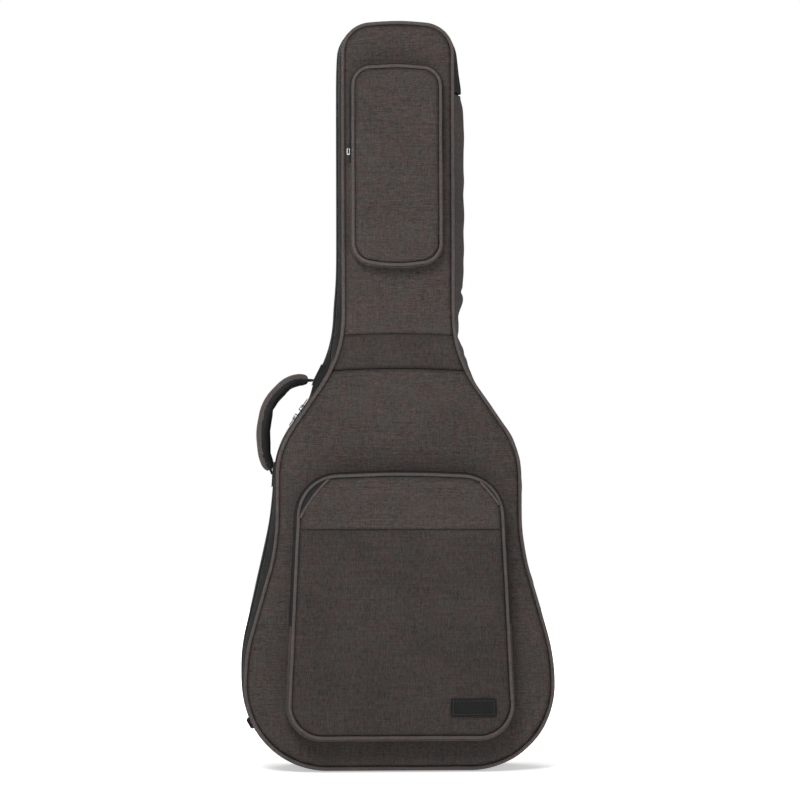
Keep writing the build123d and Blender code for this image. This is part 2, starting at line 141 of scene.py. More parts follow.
class Nodes:
    """A material's node tree, with its shader, and short ways to add to it."""

    def __init__(self, name, roughness, specular=0.25):
        self.material = bpy.data.materials.new(name)
        self.material.use_nodes = True
        self.tree = self.material.node_tree
        self.shader = self.tree.nodes["Principled BSDF"]
        self.shader.inputs["Roughness"].default_value = roughness
        self.shader.inputs["Specular IOR Level"].default_value = specular
        self.place = self.tree.nodes.new("ShaderNodeTexCoord").outputs["Object"]

    def add(self, kind, inputs=(), **settings):
        node = self.tree.nodes.new(kind)
        for key, value in settings.items():
            setattr(node, key, value)
        for key, value in dict(inputs).items():
            if isinstance(value, bpy.types.NodeSocket):
                self.tree.links.new(value, node.inputs[key])
            else:
                node.inputs[key].default_value = value
        return node

    def noise(self, scale, detail=2.0, roughness=0.5):
        """Noise, with one scale or a scale for each axis, in waves per metre."""
        scales = (scale,) * 3 if isinstance(scale, float) else scale
        moved = self.add("ShaderNodeMapping", {"Vector": self.place, "Scale": scales})
        inputs = {"Vector": moved.outputs[0], "Scale": 1.0, "Detail": detail, "Roughness": roughness}
        return self.add("ShaderNodeTexNoise", inputs).outputs["Fac"]

    def wave(self, direction, per_metre):
        """Parallel ridges, counted along one axis."""
        inputs = {"Vector": self.place, "Scale": per_metre / 10 * pi}
        node = self.add("ShaderNodeTexWave", inputs, wave_type="BANDS", bands_direction=direction)
        return node.outputs["Fac"]

    def maths(self, operation, first, second, third=0.0):
        """One sum of sockets or numbers."""
        node = self.add("ShaderNodeMath", {0: first, 1: second, 2: third}, operation=operation)
        return node.outputs[0]

    def ramp(self, value, stops):
        """A colour for each value, blended between the stops."""
        node = self.add("ShaderNodeValToRGB", {"Fac": value})
        points = node.color_ramp.elements
        while len(points) < len(stops):
            points.new(0.5)
        for point, (at, colour) in zip(points, stops):
            point.position = at
            point.color = (*colour, 1.0)
        return node.outputs["Color"]

    def colour(self, socket):
        self.tree.links.new(socket, self.shader.inputs["Base Color"])

    def bump(self, height, distance, strength=1.0):
        inputs = {"Height": height, "Distance": distance, "Strength": strength}
        self.tree.links.new(self.add("ShaderNodeBump", inputs).outputs[0], self.shader.inputs["Normal"])


def shaded(colour, share):
    """The same colour, lighter or darker."""
    return tuple(channel * share for channel in colour)


def heather(name, grain, base, contrast=0.55):
    """A melange weave: threads of uneven shade along the grain, fewer and fainter ones across it."""
    made = Nodes(name, 0.92, 0.15)
    flat = (THREAD_LONG, THREAD_LONG, THREAD_FINE)
    upright = (THREAD_FINE, THREAD_FINE, THREAD_LONG)
    main, cross = (flat, upright) if grain == "across" else (upright, flat)
    streaks = made.noise(main, 3.0, 0.65)
    threads = made.noise(cross, 2.0, 0.6)
    flecks = made.noise(900.0, 1.0)
    clouds = made.noise(9.0, 2.0)
    slubs = made.noise((SLUB_LONG, SLUB_LONG, SLUB_FINE), 1.0)
    strays = made.noise((SLUB_FINE, SLUB_FINE, SLUB_LONG), 1.0)
    mixed = made.maths("MULTIPLY", threads, THREAD_SHARE)
    mixed = made.maths("MULTIPLY_ADD", streaks, STREAK_SHARE, mixed)
    mixed = made.maths("MULTIPLY_ADD", flecks, FLECK_SHARE, mixed)
    mixed = made.maths("MULTIPLY_ADD", made.maths("ADD", slubs, strays), SLUB_SHARE, mixed)
    mixed = made.maths("MULTIPLY_ADD", made.maths("SUBTRACT", clouds, 0.5), CLOUD_SHARE, mixed)
    dark, light = shaded(base, 1 - contrast), shaded(base, 1 + contrast)
    plain = made.ramp(mixed, ((SHADE_LOW, dark), (0.5, base), (SHADE_HIGH, light)))
    tint = made.ramp(made.noise(70.0, 2.0), ((0.42, COOL_TINT), (0.6, WARM_TINT)))
    both = {"Factor": 1.0, 6: plain, 7: tint}
    made.colour(made.add("ShaderNodeMix", both, data_type="RGBA", blend_type="MULTIPLY").outputs[2])
    weave = made.maths("MULTIPLY", made.wave("X", RIDGES), made.wave("Z", RIDGES))
    made.bump(made.maths("MULTIPLY_ADD", mixed, 1.6, weave), 0.0005, 0.55)
    made.shader.inputs["Sheen Weight"].default_value = 0.03
    made.shader.inputs["Sheen Roughness"].default_value = 0.5
    return made.material


def ribbed(name, base, direction, per_metre, roughness, depth=0.0004):
    """Woven tape or nylon, with ridges along one axis and a little uneven shade."""
    made = Nodes(name, roughness, 0.12)
    uneven = made.noise(60.0, 4.0, 0.7)
    threads = made.noise(1400.0, 2.0)
    mixed = made.maths("MULTIPLY_ADD", uneven, 0.6, made.maths("MULTIPLY", threads, 0.4))
    made.colour(made.ramp(mixed, ((0.3, shaded(base, 0.65)), (0.7, shaded(base, 1.4)))))
    ridges = made.maths("ADD", made.wave(direction, per_metre), made.maths("MULTIPLY", threads, 0.6))
    made.bump(ridges, depth, 0.7)
    return made.material


def plain_weave(name, base, per_metre, roughness):
    """Close-woven nylon cloth."""
    made = Nodes(name, roughness, 0.12)
    weave = made.maths("MULTIPLY", made.wave("Y", per_metre), made.wave("Z", per_metre))
    worn = made.noise(25.0, 5.0, 0.7)
    threads = made.noise(1100.0, 2.0)
    mixed = made.maths("MULTIPLY_ADD", worn, 0.5, made.maths("MULTIPLY", threads, 0.5))
    made.colour(made.ramp(mixed, ((0.3, shaded(base, 0.6)), (0.7, shaded(base, 1.5)))))
    made.bump(made.maths("ADD", weave, threads), 0.0004, 0.6)
    return made.material


def plush(name, base):
    """Short, soft pile."""
    made = Nodes(name, 1.0, 0.1)
    pile = made.noise(1300.0, 3.0, 0.7)
    brushed = made.noise((30.0, 30.0, 14.0), 4.0, 0.6)
    mixed = made.maths("MULTIPLY_ADD", brushed, 0.6, made.maths("MULTIPLY", pile, 0.4))
    made.colour(made.ramp(mixed, ((0.3, shaded(base, 0.6)), (0.7, shaded(base, 1.5)))))
    made.bump(mixed, 0.0016, 0.8)
    made.shader.inputs["Sheen Weight"].default_value = 0.45
    made.shader.inputs["Sheen Roughness"].default_value = 0.4
    return made.material


def hard(name, base, roughness, metallic=0.0, grain=0.15):
    """Moulded plastic or coated metal, with fine wear."""
    made = Nodes(name, roughness, 0.5)
    wear = made.noise(420.0, 4.0, 0.7)
    made.colour(made.ramp(wear, ((0.35, shaded(base, 1 - grain)), (0.7, shaded(base, 1 + 2 * grain)))))
    made.shader.inputs["Metallic"].default_value = metallic
    made.bump(wear, 0.0001, 0.3)
    return made.material


HEATHER = (0.0410, 0.0343, 0.0310)
HEATHER_LIGHT = (0.0660, 0.0560, 0.0515)
BLACK = (0.0130, 0.0138, 0.0130)
MATERIALS = {
    "across": heather("heather_across", "across", HEATHER),
    # The upright heather's threads run up and down, and its colour is 0.8 as dark as the other heather's:
    # painted shade for faces that catch less light.
    "upright": heather("heather_upright_painted_shade", "upright", shaded(HEATHER, 0.8)),
    "piping": heather("heather_piping", "upright", HEATHER_LIGHT, 0.35),
    "nylon": plain_weave("black_nylon", BLACK, 1400.0, 0.7),
    "tape": ribbed("zipper_tape", shaded(BLACK, 0.8), "Z", 1100.0, 0.75),
    "coil": hard("zipper_coil", (0.012, 0.012, 0.012), 0.35),
    "dark_metal": hard("black_metal", (0.012, 0.012, 0.013), 0.38, 0.2),
    "bright_metal": hard("nickel", (0.36, 0.36, 0.35), 0.28, 1.0),
    "plastic": hard("black_plastic", (0.014, 0.014, 0.014), 0.38),
    "webbing": ribbed("webbing", shaded(BLACK, 0.9), "Z", 420.0, 0.7, 0.0007),
    "label": ribbed("label_cloth", (0.010, 0.010, 0.0105), "Z", 1300.0, 0.5),
    "thread": hard("thread", (0.030, 0.029, 0.028), 0.7, 0.0, 0.3),
    "plush": plush("plush_lining", (0.030, 0.030, 0.034)),
}


# ======================================================================================
# Shape tools
# ======================================================================================


def piece(name, points, faces, material, slot, thickness=0.0):
    """A mesh object from points in millimetres, smooth, with a thickness behind its surface."""
    mesh = bpy.data.meshes.new(name)
    mesh.from_pydata((np.asarray(points, float) * MM).tolist(), [], faces)
    mesh.shade_smooth()
    mesh.materials.append(MATERIALS[material])
    obj = bpy.data.objects.new(name, mesh)
    bpy.context.scene.collection.objects.link(obj)
    if thickness:
        solid = obj.modifiers.new("thickness", "SOLIDIFY")
        solid.thickness = thickness * MM
        solid.offset = -1.0
        settle(obj)
    return obj


def settle(obj):
    """Makes what the modifiers show the object's own mesh."""
    bpy.context.view_layer.update()
    shown = obj.evaluated_get(bpy.context.evaluated_depsgraph_get())
    final = bpy.data.meshes.new_from_object(shown)
    obj.modifiers.clear()
    obj.data = final


def places(obj):
    """The mesh's points as an array, in millimetres."""
    flat = np.empty(len(obj.data.vertices) * 3)
    obj.data.vertices.foreach_get("co", flat)
    return flat.reshape(-1, 3) / MM


def move_to(obj, points):
    """Puts the mesh's points at new places, in millimetres."""
    obj.data.vertices.foreach_set("co", (np.asarray(points) * MM).ravel())
    obj.data.update()


def rounded(corners, radii, step=2.0, closed=True):
    """A line of points through corners, with each corner rounded by its radius."""
    points = [] if closed else [Vector(corners[0])]
    turning = range(len(corners)) if closed else range(1, len(corners) - 1)
    for i, radius in zip(turning, radii):
        corner = Vector(corners[i])
        back = (Vector(corners[i - 1]) - corner).normalized()
        ahead = (Vector(corners[(i + 1) % len(corners)]) - corner).normalized()
        half = back.angle(ahead) / 2
        centre = corner + (back + ahead).normalized() * radius / sin(half)
        arm = corner + back * radius / tan(half) - centre
        turn = copysign(pi - 2 * half, ahead.cross(back))
        steps = max(2, round(radius * abs(turn) / step))
        for k in range(steps + 1):
            a = turn * k / steps
            turned = (arm.x * cos(a) - arm.y * sin(a), arm.x * sin(a) + arm.y * cos(a))
            points.append(centre + Vector(turned))
    if not closed:
        points.append(Vector(corners[-1]))
    return np.array([tuple(p) for p in points])


def even(points, step, closed=True):
    """The same line with evenly spaced points."""
    line = np.vstack([points, points[:1]]) if closed else np.asarray(points)
    reached = np.concatenate([[0.0], np.cumsum(np.linalg.norm(np.diff(line, axis=0), axis=1))])
    count = max(3, round(reached[-1] / step))
    wanted = np.linspace(0.0, reached[-1], count + 1)
    if closed:
        wanted = wanted[:-1]
    return np.column_stack([np.interp(wanted, reached, line[:, k]) for k in range(line.shape[1])])


def mirrored(right, radii, top_bow, top_radius, low_bow=0.0, low_radius=0.0):
    """A closed outline from its right half's corners, bottom first, with bowed top and bottom."""
    corners = [tuple(point) for point in right]
    corners[0] = (corners[0][0], corners[0][1] + low_bow)
    corners[-1] = (corners[-1][0], corners[-1][1] - top_bow)
    line = corners + [(0.0, right[-1][1])] + [(-x, y) for x, y in reversed(corners)]
    rounding = [*radii, top_radius, *reversed(radii)]
    if low_bow:
        line.append((0.0, right[0][1]))
        rounding.append(low_radius)
    return rounded(line, rounding)


class Edge:
    """A line on a flat pattern: its points, outward normals and length so far."""

    def __init__(self, points, closed=True, out=None):
        self.points = points
        if out is None:
            along = np.roll(points, -1, 0) - np.roll(points, 1, 0)
            if not closed:
                along[0], along[-1] = points[1] - points[0], points[-1] - points[-2]
            along /= np.linalg.norm(along, axis=1)[:, None]
            out = np.column_stack([along[:, 1], -along[:, 0]])
        self.out = out
        steps = np.linalg.norm(np.diff(points, axis=0), axis=1)
        self.reached = np.concatenate([[0.0], np.cumsum(steps)])

    def moved(self, amount):
        """Its points, moved outwards."""
        return self.points + self.out * np.reshape(amount, (-1, 1))

    def part(self, chosen):
        """The one stretch where chosen holds, as an open line."""
        chosen = np.asarray(chosen)
        if chosen.all():
            return self
        start = next(i for i in range(len(chosen)) if chosen[i] and not chosen[i - 1])
        order = [(start + k) % len(chosen) for k in range(int(chosen.sum()))]
        return Edge(self.points[order], False, self.out[order])


def lid_point(x, y, u):
    """A point of the lid's own axes, u out from the zipper plane, in the row frame."""
    x, y, u = np.broadcast_arrays(x, y, u)
    return np.stack([x, SPLIT_Y - u * cos(TILT) + y * sin(TILT), y * cos(TILT) + u * sin(TILT)], -1)


def shell_point(x, y, w):
    """A point w in front of the back's outer face, in the row frame."""
    x, y, w = np.broadcast_arrays(x, y, w)
    return np.stack([x, BACK_Y - w, y], -1)


def loft(name, rows, closed, material, slot, thickness=0.0, flip=False):
    """Cloth through rows of points, each row as long as the first."""
    count = len(rows[0])
    spans = count if closed else count - 1
    faces = []
    for r in range(len(rows) - 1):
        for i in range(spans):
            j = (i + 1) % count
            quad = [r * count + i, r * count + j, (r + 1) * count + j, (r + 1) * count + i]
            faces.append(quad[::-1] if flip else quad)
    return piece(name, np.vstack(rows), faces, material, slot, thickness)


def tube(name, path, radius, closed, material, slot, sides=10, flat=1.0):
    """A cord along a path in the row frame, as wide as its radius along Y and flat times that across."""
    path = np.asarray(path)
    along = np.roll(path, -1, 0) - np.roll(path, 1, 0)
    if not closed:
        along[0], along[-1] = path[1] - path[0], path[-1] - path[-2]
    along /= np.linalg.norm(along, axis=1)[:, None]
    hint = np.array([0.0, 1.0, 0.0])
    first = hint - along * (along @ hint)[:, None]
    first /= np.linalg.norm(first, axis=1)[:, None]
    second = np.cross(along, first)
    radius = np.broadcast_to(radius, len(path))
    rings = []
    for k in range(sides):
        a = 2 * pi * k / sides
        ring = path + first * (radius * cos(a))[:, None]
        rings.append(ring + second * (radius * flat * sin(a))[:, None])
    points = np.stack(rings, 1).reshape(-1, 3)
    spans = len(path) if closed else len(path) - 1
    faces = []
    for i in range(spans):
        j = (i + 1) % len(path)
        for k in range(sides):
            m = (k + 1) % sides
            faces.append([i * sides + k, i * sides + m, j * sides + m, j * sides + k])
    if not closed:
        faces.append(list(range(sides))[::-1])
        faces.append([(len(path) - 1) * sides + k for k in range(sides)])
    return piece(name, points, faces, material, slot)


def inside(points, border):
    """Which points lie in a closed line."""
    x, y = points[:, 0][:, None], points[:, 1][:, None]
    ax, ay = border[:, 0][None], border[:, 1][None]
    bx, by = np.roll(border, -1, 0).T[:, None, :]
    crosses = (ay > y) != (by > y)
    with np.errstate(divide="ignore", invalid="ignore"):
        left = x < (bx - ax) * (y - ay) / (by - ay) + ax
    return (crosses & left).sum(1) % 2 == 1


def nearest(points, line):
    """Each point's distance to the nearest point of a line."""
    found = []
    for part in np.array_split(points, 8):
        gap = line[None] - part[:, None]
        found.append(np.hypot(gap[..., 0], gap[..., 1]).min(1))
    return np.concatenate(found)


def pattern(border, step):
    """A flat shape filled with triangles: points and faces."""
    low, high = border.min(0), border.max(0)
    xs = np.arange(low[0], high[0], step)
    ys = np.arange(low[1], high[1], step * 0.866)
    gx, gy = np.meshgrid(xs, ys)
    gx[1::2] += step / 2
    grid = np.column_stack([gx.ravel(), gy.ravel()])
    grid = grid[inside(grid, border)]
    grid = grid[nearest(grid, border) > 0.55 * step]
    points = np.vstack([border, grid])
    edges = [(i, (i + 1) % len(border)) for i in range(len(border))]
    made = delaunay_2d_cdt([Vector(p) for p in points.tolist()], edges, [], 1, 1e-4)
    return np.array([tuple(p) for p in made[0]]), [list(f) for f in made[2]]


def between(border, low, high, step):
    """The part of a closed line between two heights, closed by straight runs."""
    kept = []
    for level, side in ((low, 1), (high, -1)):
        source = border if not kept else kept
        kept = []
        for a, b in zip(source, list(source[1:]) + [source[0]]):
            ina, inb = (a[1] - level) * side >= 0, (b[1] - level) * side >= 0
            if ina:
                kept.append(a)
            if ina != inb:
                kept.append(a + (b - a) * (level - a[1]) / (b[1] - a[1]))
    filled = []
    for a, b in zip(kept, kept[1:] + kept[:1]):
        pieces = max(1, round(hypot(*(b - a)) / step))
        filled += [a + (b - a) * k / pieces for k in range(pieces)]
    return np.array(filled)


def ripple(points, length, seed):
    """Smooth unevenness from -1 to 1 at each point, with waves about length long."""
    shift = Vector((seed * 7.3, seed * 3.1, seed * 5.7))
    lengths = np.broadcast_to(length, np.asarray(points).shape[1:])
    scaled = np.zeros((len(points), 3))
    scaled[:, : lengths.shape[0]] = np.asarray(points) / lengths
    return np.array([noise.noise(Vector(p) + shift) for p in scaled.tolist()])


def near(value, centre, width):
    """1 at the centre, falling smoothly to 0 over about width on both sides."""
    return np.exp(-(((np.asarray(value) - centre) / width) ** 2))


def swell(obj, voxel, cap):
    """Blows a closed piece up like stuffed cloth, moves no point further than cap, then smooths it."""
    remesh = obj.modifiers.new("remesh", "REMESH")
    remesh.mode = "VOXEL"
    remesh.voxel_size = voxel * MM
    settle(obj)
    start = places(obj)
    cloth = obj.modifiers.new("cloth", "CLOTH")
    cloth.settings.quality = 5
    cloth.settings.mass = 0.2
    cloth.settings.tension_stiffness = 18.0
    cloth.settings.compression_stiffness = 18.0
    cloth.settings.bending_stiffness = 0.8
    cloth.settings.use_pressure = True
    cloth.settings.uniform_pressure_force = 4.0
    cloth.settings.effector_weights.gravity = 0.0
    cloth.point_cache.frame_start = 1
    cloth.point_cache.frame_end = SWELL_FRAMES
    for step in range(1, SWELL_FRAMES + 1):
        bpy.context.scene.frame_set(step)
    shown = obj.evaluated_get(bpy.context.evaluated_depsgraph_get())
    final = bpy.data.meshes.new_from_object(shown)
    flat = np.empty(len(final.vertices) * 3)
    final.vertices.foreach_get("co", flat)
    obj.modifiers.clear()
    bpy.context.scene.frame_set(1)
    gone = flat.reshape(-1, 3) / MM - start
    length = np.linalg.norm(gone, axis=1)[:, None]
    move_to(obj, start + gone * np.minimum(1.0, cap / np.maximum(length, 1e-6)))
    smooth(obj)
    obj.data.shade_smooth()


def smooth(obj):
    """Splits the mesh's faces once, rounding them."""
    obj.modifiers.new("smooth", "SUBSURF").levels = 1
    obj.modifiers["smooth"].render_levels = 1
    settle(obj)


def joined(name, parts):
    """Several objects as one, keeping their materials."""
    with bpy.context.temp_override(active_object=parts[0], selected_editable_objects=parts):
        bpy.ops.object.join()
    parts[0].name = name
    return parts[0]


def rows_of(name, centres, along, across, out, size, material, slot):
    """Many small six-sided lozenges, one at each centre: teeth and stitches."""
    half_long, half_wide, high = size
    ring = [(-1.0, 0.0), (-0.6, 1.0), (0.6, 1.0), (1.0, 0.0), (0.6, -1.0), (-0.6, -1.0)]
    points, faces = [], []
    for centre, a, b, n in zip(centres, along, across, out):
        start = len(points)
        for long_share, wide_share, rise in ((1.0, 1.0, -0.5), (0.8, 0.6, 0.5)):
            for x, y in ring:
                foot = centre + a * x * half_long * long_share + b * y * half_wide * wide_share
                points.append(foot + n * high * rise)
        faces.append([start + k for k in reversed(range(6))])
        faces.append([start + 6 + k for k in range(6)])
        for k in range(6):
            m = (k + 1) % 6
            faces.append([start + k, start + m, start + 6 + m, start + 6 + k])
    return piece(name, points, faces, material, slot)


# ======================================================================================
# Outlines of the bag and its pockets
# ======================================================================================

BAG_CORNERS = [
    (LOWER_HALF, 0.0),
    (LOWER_HALF, LOWER_TOP),
    (UPPER_HALF, UPPER_BOTTOM),
    (UPPER_HALF, UPPER_TOP),
    (NECK_HALF, NECK_BOTTOM),
    (NECK_HALF, HEIGHT),
]
LARGE_CORNERS = [(POCKET_LOW_HALF, POCKET_LOW), (POCKET_HIGH_HALF, POCKET_HIGH)]
HEAD_CORNERS = [(HEAD_HALF, HEAD_LOW), (HEAD_HALF, HEAD_HIGH)]


def bag_edge(stretch):
    """The bag's outline, its heights stretched on the sloping lid."""
    corners = [(x, y * stretch) for x, y in BAG_CORNERS]
    return Edge(even(mirrored(corners, OUTLINE_RADII, HEAD_BOW, HEAD_BOW_RADIUS), EDGE_STEP))


SHELL_EDGE = bag_edge(1.0)
LID_EDGE = bag_edge(STRETCH)
LARGE_EDGE = Edge(even(mirrored(LARGE_CORNERS, POCKET_RADII, POCKET_BOW, POCKET_BOW_RADIUS), 3.0))
HEAD_BOWS = (HEAD_POCKET_BOW, HEAD_POCKET_RADIUS, HEAD_POCKET_LOW_BOW, HEAD_POCKET_RADIUS)
HEAD_LINE = mirrored(HEAD_CORNERS, HEAD_RADII, *HEAD_BOWS) + np.array([HEAD_X, 0.0])
HEAD_EDGE = Edge(even(HEAD_LINE, 3.0))


def on_hinge(edge):
    """Where an edge of the bag is on the hinge side."""
    x, y = edge.points.T
    return (x > 0) & (y > HINGE_LOW) & (y < HINGE_HIGH)


def step_up(value, centre, width):
    """0 well below the centre, 1 well above it."""
    return 1 / (1 + np.exp(-(np.asarray(value) - centre) / width))


def bulge(x, z):
    """How far the gusset stands out where it is fullest, by place along the outline."""
    left = np.where(x < 0, 1.0, 0.0)
    right = 1 - left
    below_top = 1 - near(z, 1100, 50)
    neck = step_up(z, 690, 16) * below_top
    shoulder = step_up(z, 552, 6) * (1 - step_up(z, 690, 16))
    waist = 12.0 * near(z, 305, 85) + 4.0 * near(z, 190, 60)
    amount = left * (5.0 * neck + 10.5 * shoulder + waist)
    head = 1 - 0.5 * step_up(z, 1000, 14)
    amount += right * (16.5 * step_up(z, 662, 20) * below_top * head + 6.0 * near(z, 600, 45))
    folds = 2.4 * near(z, 612, 8) - 2.2 * near(z, 632, 5) + 1.6 * near(z, 596, 6)
    folds += 2.2 * near(z, 686, 9) - 2.4 * near(z, 699, 4) - 2.2 * near(z, 664, 9)
    folds -= 2.0 * near(z, 985, 10)
    amount += right * folds
    return amount


def fullness(x, z, q, behind):
    """The gusset's cross-section, 0 to 1: fullest behind the zipper on the left, midway on the right.

    Behind the two sliders and by the handle it stays flat as far as the zipper band's middle.
    """
    ahead_end, full = 20.7, -22.0
    share = np.clip((q + behind) / (behind + ahead_end), 0, 1)
    middle = np.sin(pi * share) ** 1.3
    ahead = np.sin(pi / 2 * np.clip((ahead_end - q) / (ahead_end - full), 0, 1))
    rear = np.cos(pi / 2 * np.clip((full - q) / (behind + full), 0, 1))
    smooth_part = np.where(q > full, ahead, rear)
    rise = np.clip((-6.5 - q) / 15.5, 0, 1)
    fall = np.clip((q + 46.0) / 20.0, 0, 1)
    kinked = rise**2 * (3 - 2 * rise) * fall**2 * (3 - 2 * fall)
    by_slider = step_up(z, 455, 7) * (1 - step_up(z, 600, 8))
    return np.where(x < 0, smooth_part * (1 - by_slider) + kinked * by_slider, middle)


def side_point(edge, out, q):
    """A point on the bag's side: out from the outline, q in front of the zipper plane."""
    x, z = edge.points.T
    q = np.broadcast_to(q, x.shape)
    split = SPLIT_Y + z * tan(TILT)
    behind = BACK_Y - 6.3 - split
    stand = out + bulge(x, z) * fullness(x, z, q, behind)
    front = np.maximum(q, 0)
    y = split - np.where(q > 0, q * cos(TILT), q)
    return np.stack([x + edge.out[:, 0] * stand, y, z + edge.out[:, 1] * stand + front * sin(TILT)], -1)


def crinkle(edge, q, size, seed):
    """Small uneven folds of a gusset, mostly across it."""
    x, z = edge.points.T
    q = np.broadcast_to(q, x.shape)
    flat = np.column_stack([x / 26.0, z / 26.0, q / 70.0])
    return size * ripple(flat, 1.0, seed)


def depth_at(edge):
    """How far the zipper plane is in front of the back's face, at each point."""
    return BACK_Y - SPLIT_Y - edge.points[:, 1] * tan(TILT)


# ======================================================================================
# Lid and shell
# ======================================================================================


def panel(name, border, height, place, material, slot, flip=False, thickness=1.6, step=PANEL_STEP):
    """A cloth panel: a flat pattern, with height(points) out from its plane."""
    points, faces = pattern(border, step)
    where = place(points[:, 0], points[:, 1], height(points))
    if flip:
        faces = [face[::-1] for face in faces]
    return piece(name, where, faces, material, slot, thickness)


def tucked(points, edge_line, top, crown, seed, seams=(), soft=55.0):
    """Height of a padded panel: tucked under its piping, crowned, slightly uneven, sunk at seams."""
    d = nearest(points, edge_line)
    height = top - 4.4 * np.exp(-d / 3.2) + crown * (1 - np.exp(-d / soft)) - 0.4
    height += 0.75 * ripple(points, 85.0, seed) * np.minimum(1, d / 25)
    height += 0.45 * ripple(points, 24.0, seed + 1) * np.exp(-d / 24)
    for level in seams:
        deep = 5.0 if level == LOWER_SEAM else 2.6
        height -= deep * np.exp(-np.abs(points[:, 1] - level) / 2.6)
        height += 0.5 * ripple(points, 15.0, seed + 2) * near(points[:, 1], level, 14)
    return height


def seam_bow(x):
    """How far the two seams across the neck bow upwards, by x."""
    return 4.0 * (1 - (x / 92.0) ** 2)


def make_front():
    """The lid's three front panels, meeting at the two seams across the neck."""
    border = even(LID_EDGE.moved(-PANEL_INSET), PANEL_STEP * 0.8)
    low, high = LOWER_SEAM, UPPER_SEAM

    def front(x, y, u):
        bow = seam_bow(x) * near(y, (low + high) / 2, 48)
        return lid_point(x, y + bow, u)

    parts = (
        ("front_body_cloth", (-9.0, low - 0.4), "across", (low,), "front_body_panel"),
        # The neck band takes the darker upright heather, whose extra darkness is painted shade.
        ("front_neck_band_cloth", (low + 0.4, high - 0.2), "upright", (low, high), "front_neck_band"),
        ("front_neck_cloth", (high + 0.2, BEYOND), "across", (high,), "front_neck_panel"),
    )
    for seed, (name, (start, stop), material, seams, node) in enumerate(parts):
        outline = between(border, start, stop, PANEL_STEP * 0.8)

        def height(points, seams=seams, seed=seed):
            return tucked(points, border, FRONT, 2.6, 10 + 5 * seed, seams)

        cloth = panel(name, outline, height, front, material, "heather_cloth")
        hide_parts(node)
        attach(cloth, "lid")


def wobble(edge, seed, size=0.35):
    """Small unevenness along a piping."""
    return size * ripple(edge.points, 30.0, seed)


def make_bag_piping():
    """Heather piping round the front, black piping round the back."""
    front = Edge(even(LID_EDGE.points, PIPING_STEP))
    path = front.moved(-PIPING_INSET + wobble(front, 41))
    where = lid_point(path[:, 0], path[:, 1], FRONT - PIPING_INSET + wobble(front, 42))
    cord = tube("front_piping_cord", where, 2.6 + wobble(front, 44, 0.12), True, "piping", "piping_cloth", 12)
    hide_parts("front_piping")
    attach(cord, "lid")
    back = Edge(even(SHELL_EDGE.points, PIPING_STEP))
    path = back.moved(-PIPING_INSET + wobble(back, 43))
    where = shell_point(path[:, 0], path[:, 1], PIPING_INSET)
    cord = tube("back_piping_cord", where, 2.9, True, "nylon", "black_nylon", 12)
    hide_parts("back_piping")
    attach(cord, "shell")


def side_rows(edge, levels, crinkles, seed):
    """Rows of a gusset: each level is (out, q), and q may vary along the edge."""
    rows = []
    for out, q in levels:
        rows.append(side_point(edge, out + crinkle(edge, q, crinkles, seed), q))
    return rows


def make_sides():
    """The zipper side: bands, tapes and teeth, and the heather gusset behind them."""
    edge = SHELL_EDGE.part(~on_hinge(SHELL_EDGE))
    back = -(depth_at(edge) - 5.0)
    gusset = [(-3.2, back), (-0.6, back + 2.5)]
    for share in np.linspace(0.08, 1.0, 12):
        gusset.append((0.0, back + 2.5 + (-BAND_EDGE - back - 2.5) * share))
    cloth = loft("rear_side_cloth", side_rows(edge, gusset, 0.9, 51), False, "across", "heather_cloth", 1.5)
    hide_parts("rear_gusset")
    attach(cloth, "shell")
    behind = [(-0.9, -BAND_EDGE - 2.5), (0.35, -BAND_EDGE - 1.5), (0.5, -BAND_EDGE + 1)]
    behind += [(0.25, -22.0), (0.25, -17.0), (0.25, -12.0), (0.5, -9.4), (0.4, -8.4), (-0.5, -8.1)]
    band = loft("rear_band", side_rows(edge, behind, 0.0, 52), False, "nylon", "black_nylon", 0.6)
    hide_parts("rear_zipper_band")
    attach(band, "shell")
    ahead = [(-0.5, 8.1), (0.4, 8.4), (0.5, 9.4), (0.2, 12.0), (0.0, 16.0), (-0.6, 19.5), (-3.4, 22.6)]
    band = loft("front_band", side_rows(edge, ahead, 0.0, 53), False, "nylon", "black_nylon", 0.6)
    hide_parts("front_zipper_band")
    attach(band, "lid")
    for name, side, body in (("rear", -1, "shell"), ("front", 1, "lid")):
        levels = [(-0.8, side * 1.3), (-0.75, side * 4.0), (-0.75, side * 7.0), (-0.6, side * 9.2)]
        levels = levels if side > 0 else levels[::-1]
        tape = loft(f"{name}_zip_tape", side_rows(edge, levels, 0.0, 54), False, "tape", "black_nylon", 0.5)
        teeth = zip_teeth(f"{name}_zip_teeth", edge, side, side_point)
        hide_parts(f"{name}_zipper")
        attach(tape, body)
        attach(teeth, body)


def zip_teeth(name, edge, side, place, middle=0.0):
    """A coil's row of teeth on one side of the zipper's middle line."""
    fine = Edge(even(edge.points, TEETH_STEP, False), False)
    low = place(fine, -0.75, middle + side * 0.45)
    high = place(fine, -0.75, middle + side * 2.5)
    top = place(fine, 0.25, middle + side * 1.5)
    centre = (low + high) / 2
    across = high - low
    across /= np.linalg.norm(across, axis=1)[:, None]
    out = top - centre
    out /= np.linalg.norm(out, axis=1)[:, None]
    along = np.cross(across, out)
    return rows_of(name, centre, across, along, out, (1.05, 0.8, 1.1), "coil", "zipper_coil")


def make_hinge():
    """The right side: one cloth gusset from the back piping to the front piping, over the hinge."""
    edge = SHELL_EDGE.part(on_hinge(SHELL_EDGE))
    back = -(depth_at(edge) - 5.0)
    levels = [(-3.2, back), (-0.6, back + 2.5)]
    for share in np.linspace(0.05, 1.0, 22):
        levels.append((0.0, back + 2.5 + (17.5 - back - 2.5) * share))
    levels += [(-0.6, 19.5), (-3.4, 22.6)]
    cloth = loft("hinge_gusset", side_rows(edge, levels, 1.2, 57), False, "across", "heather_cloth", 1.5)
    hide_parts("rear_hinge_gusset", "front_hinge_gusset")
    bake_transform(cloth)


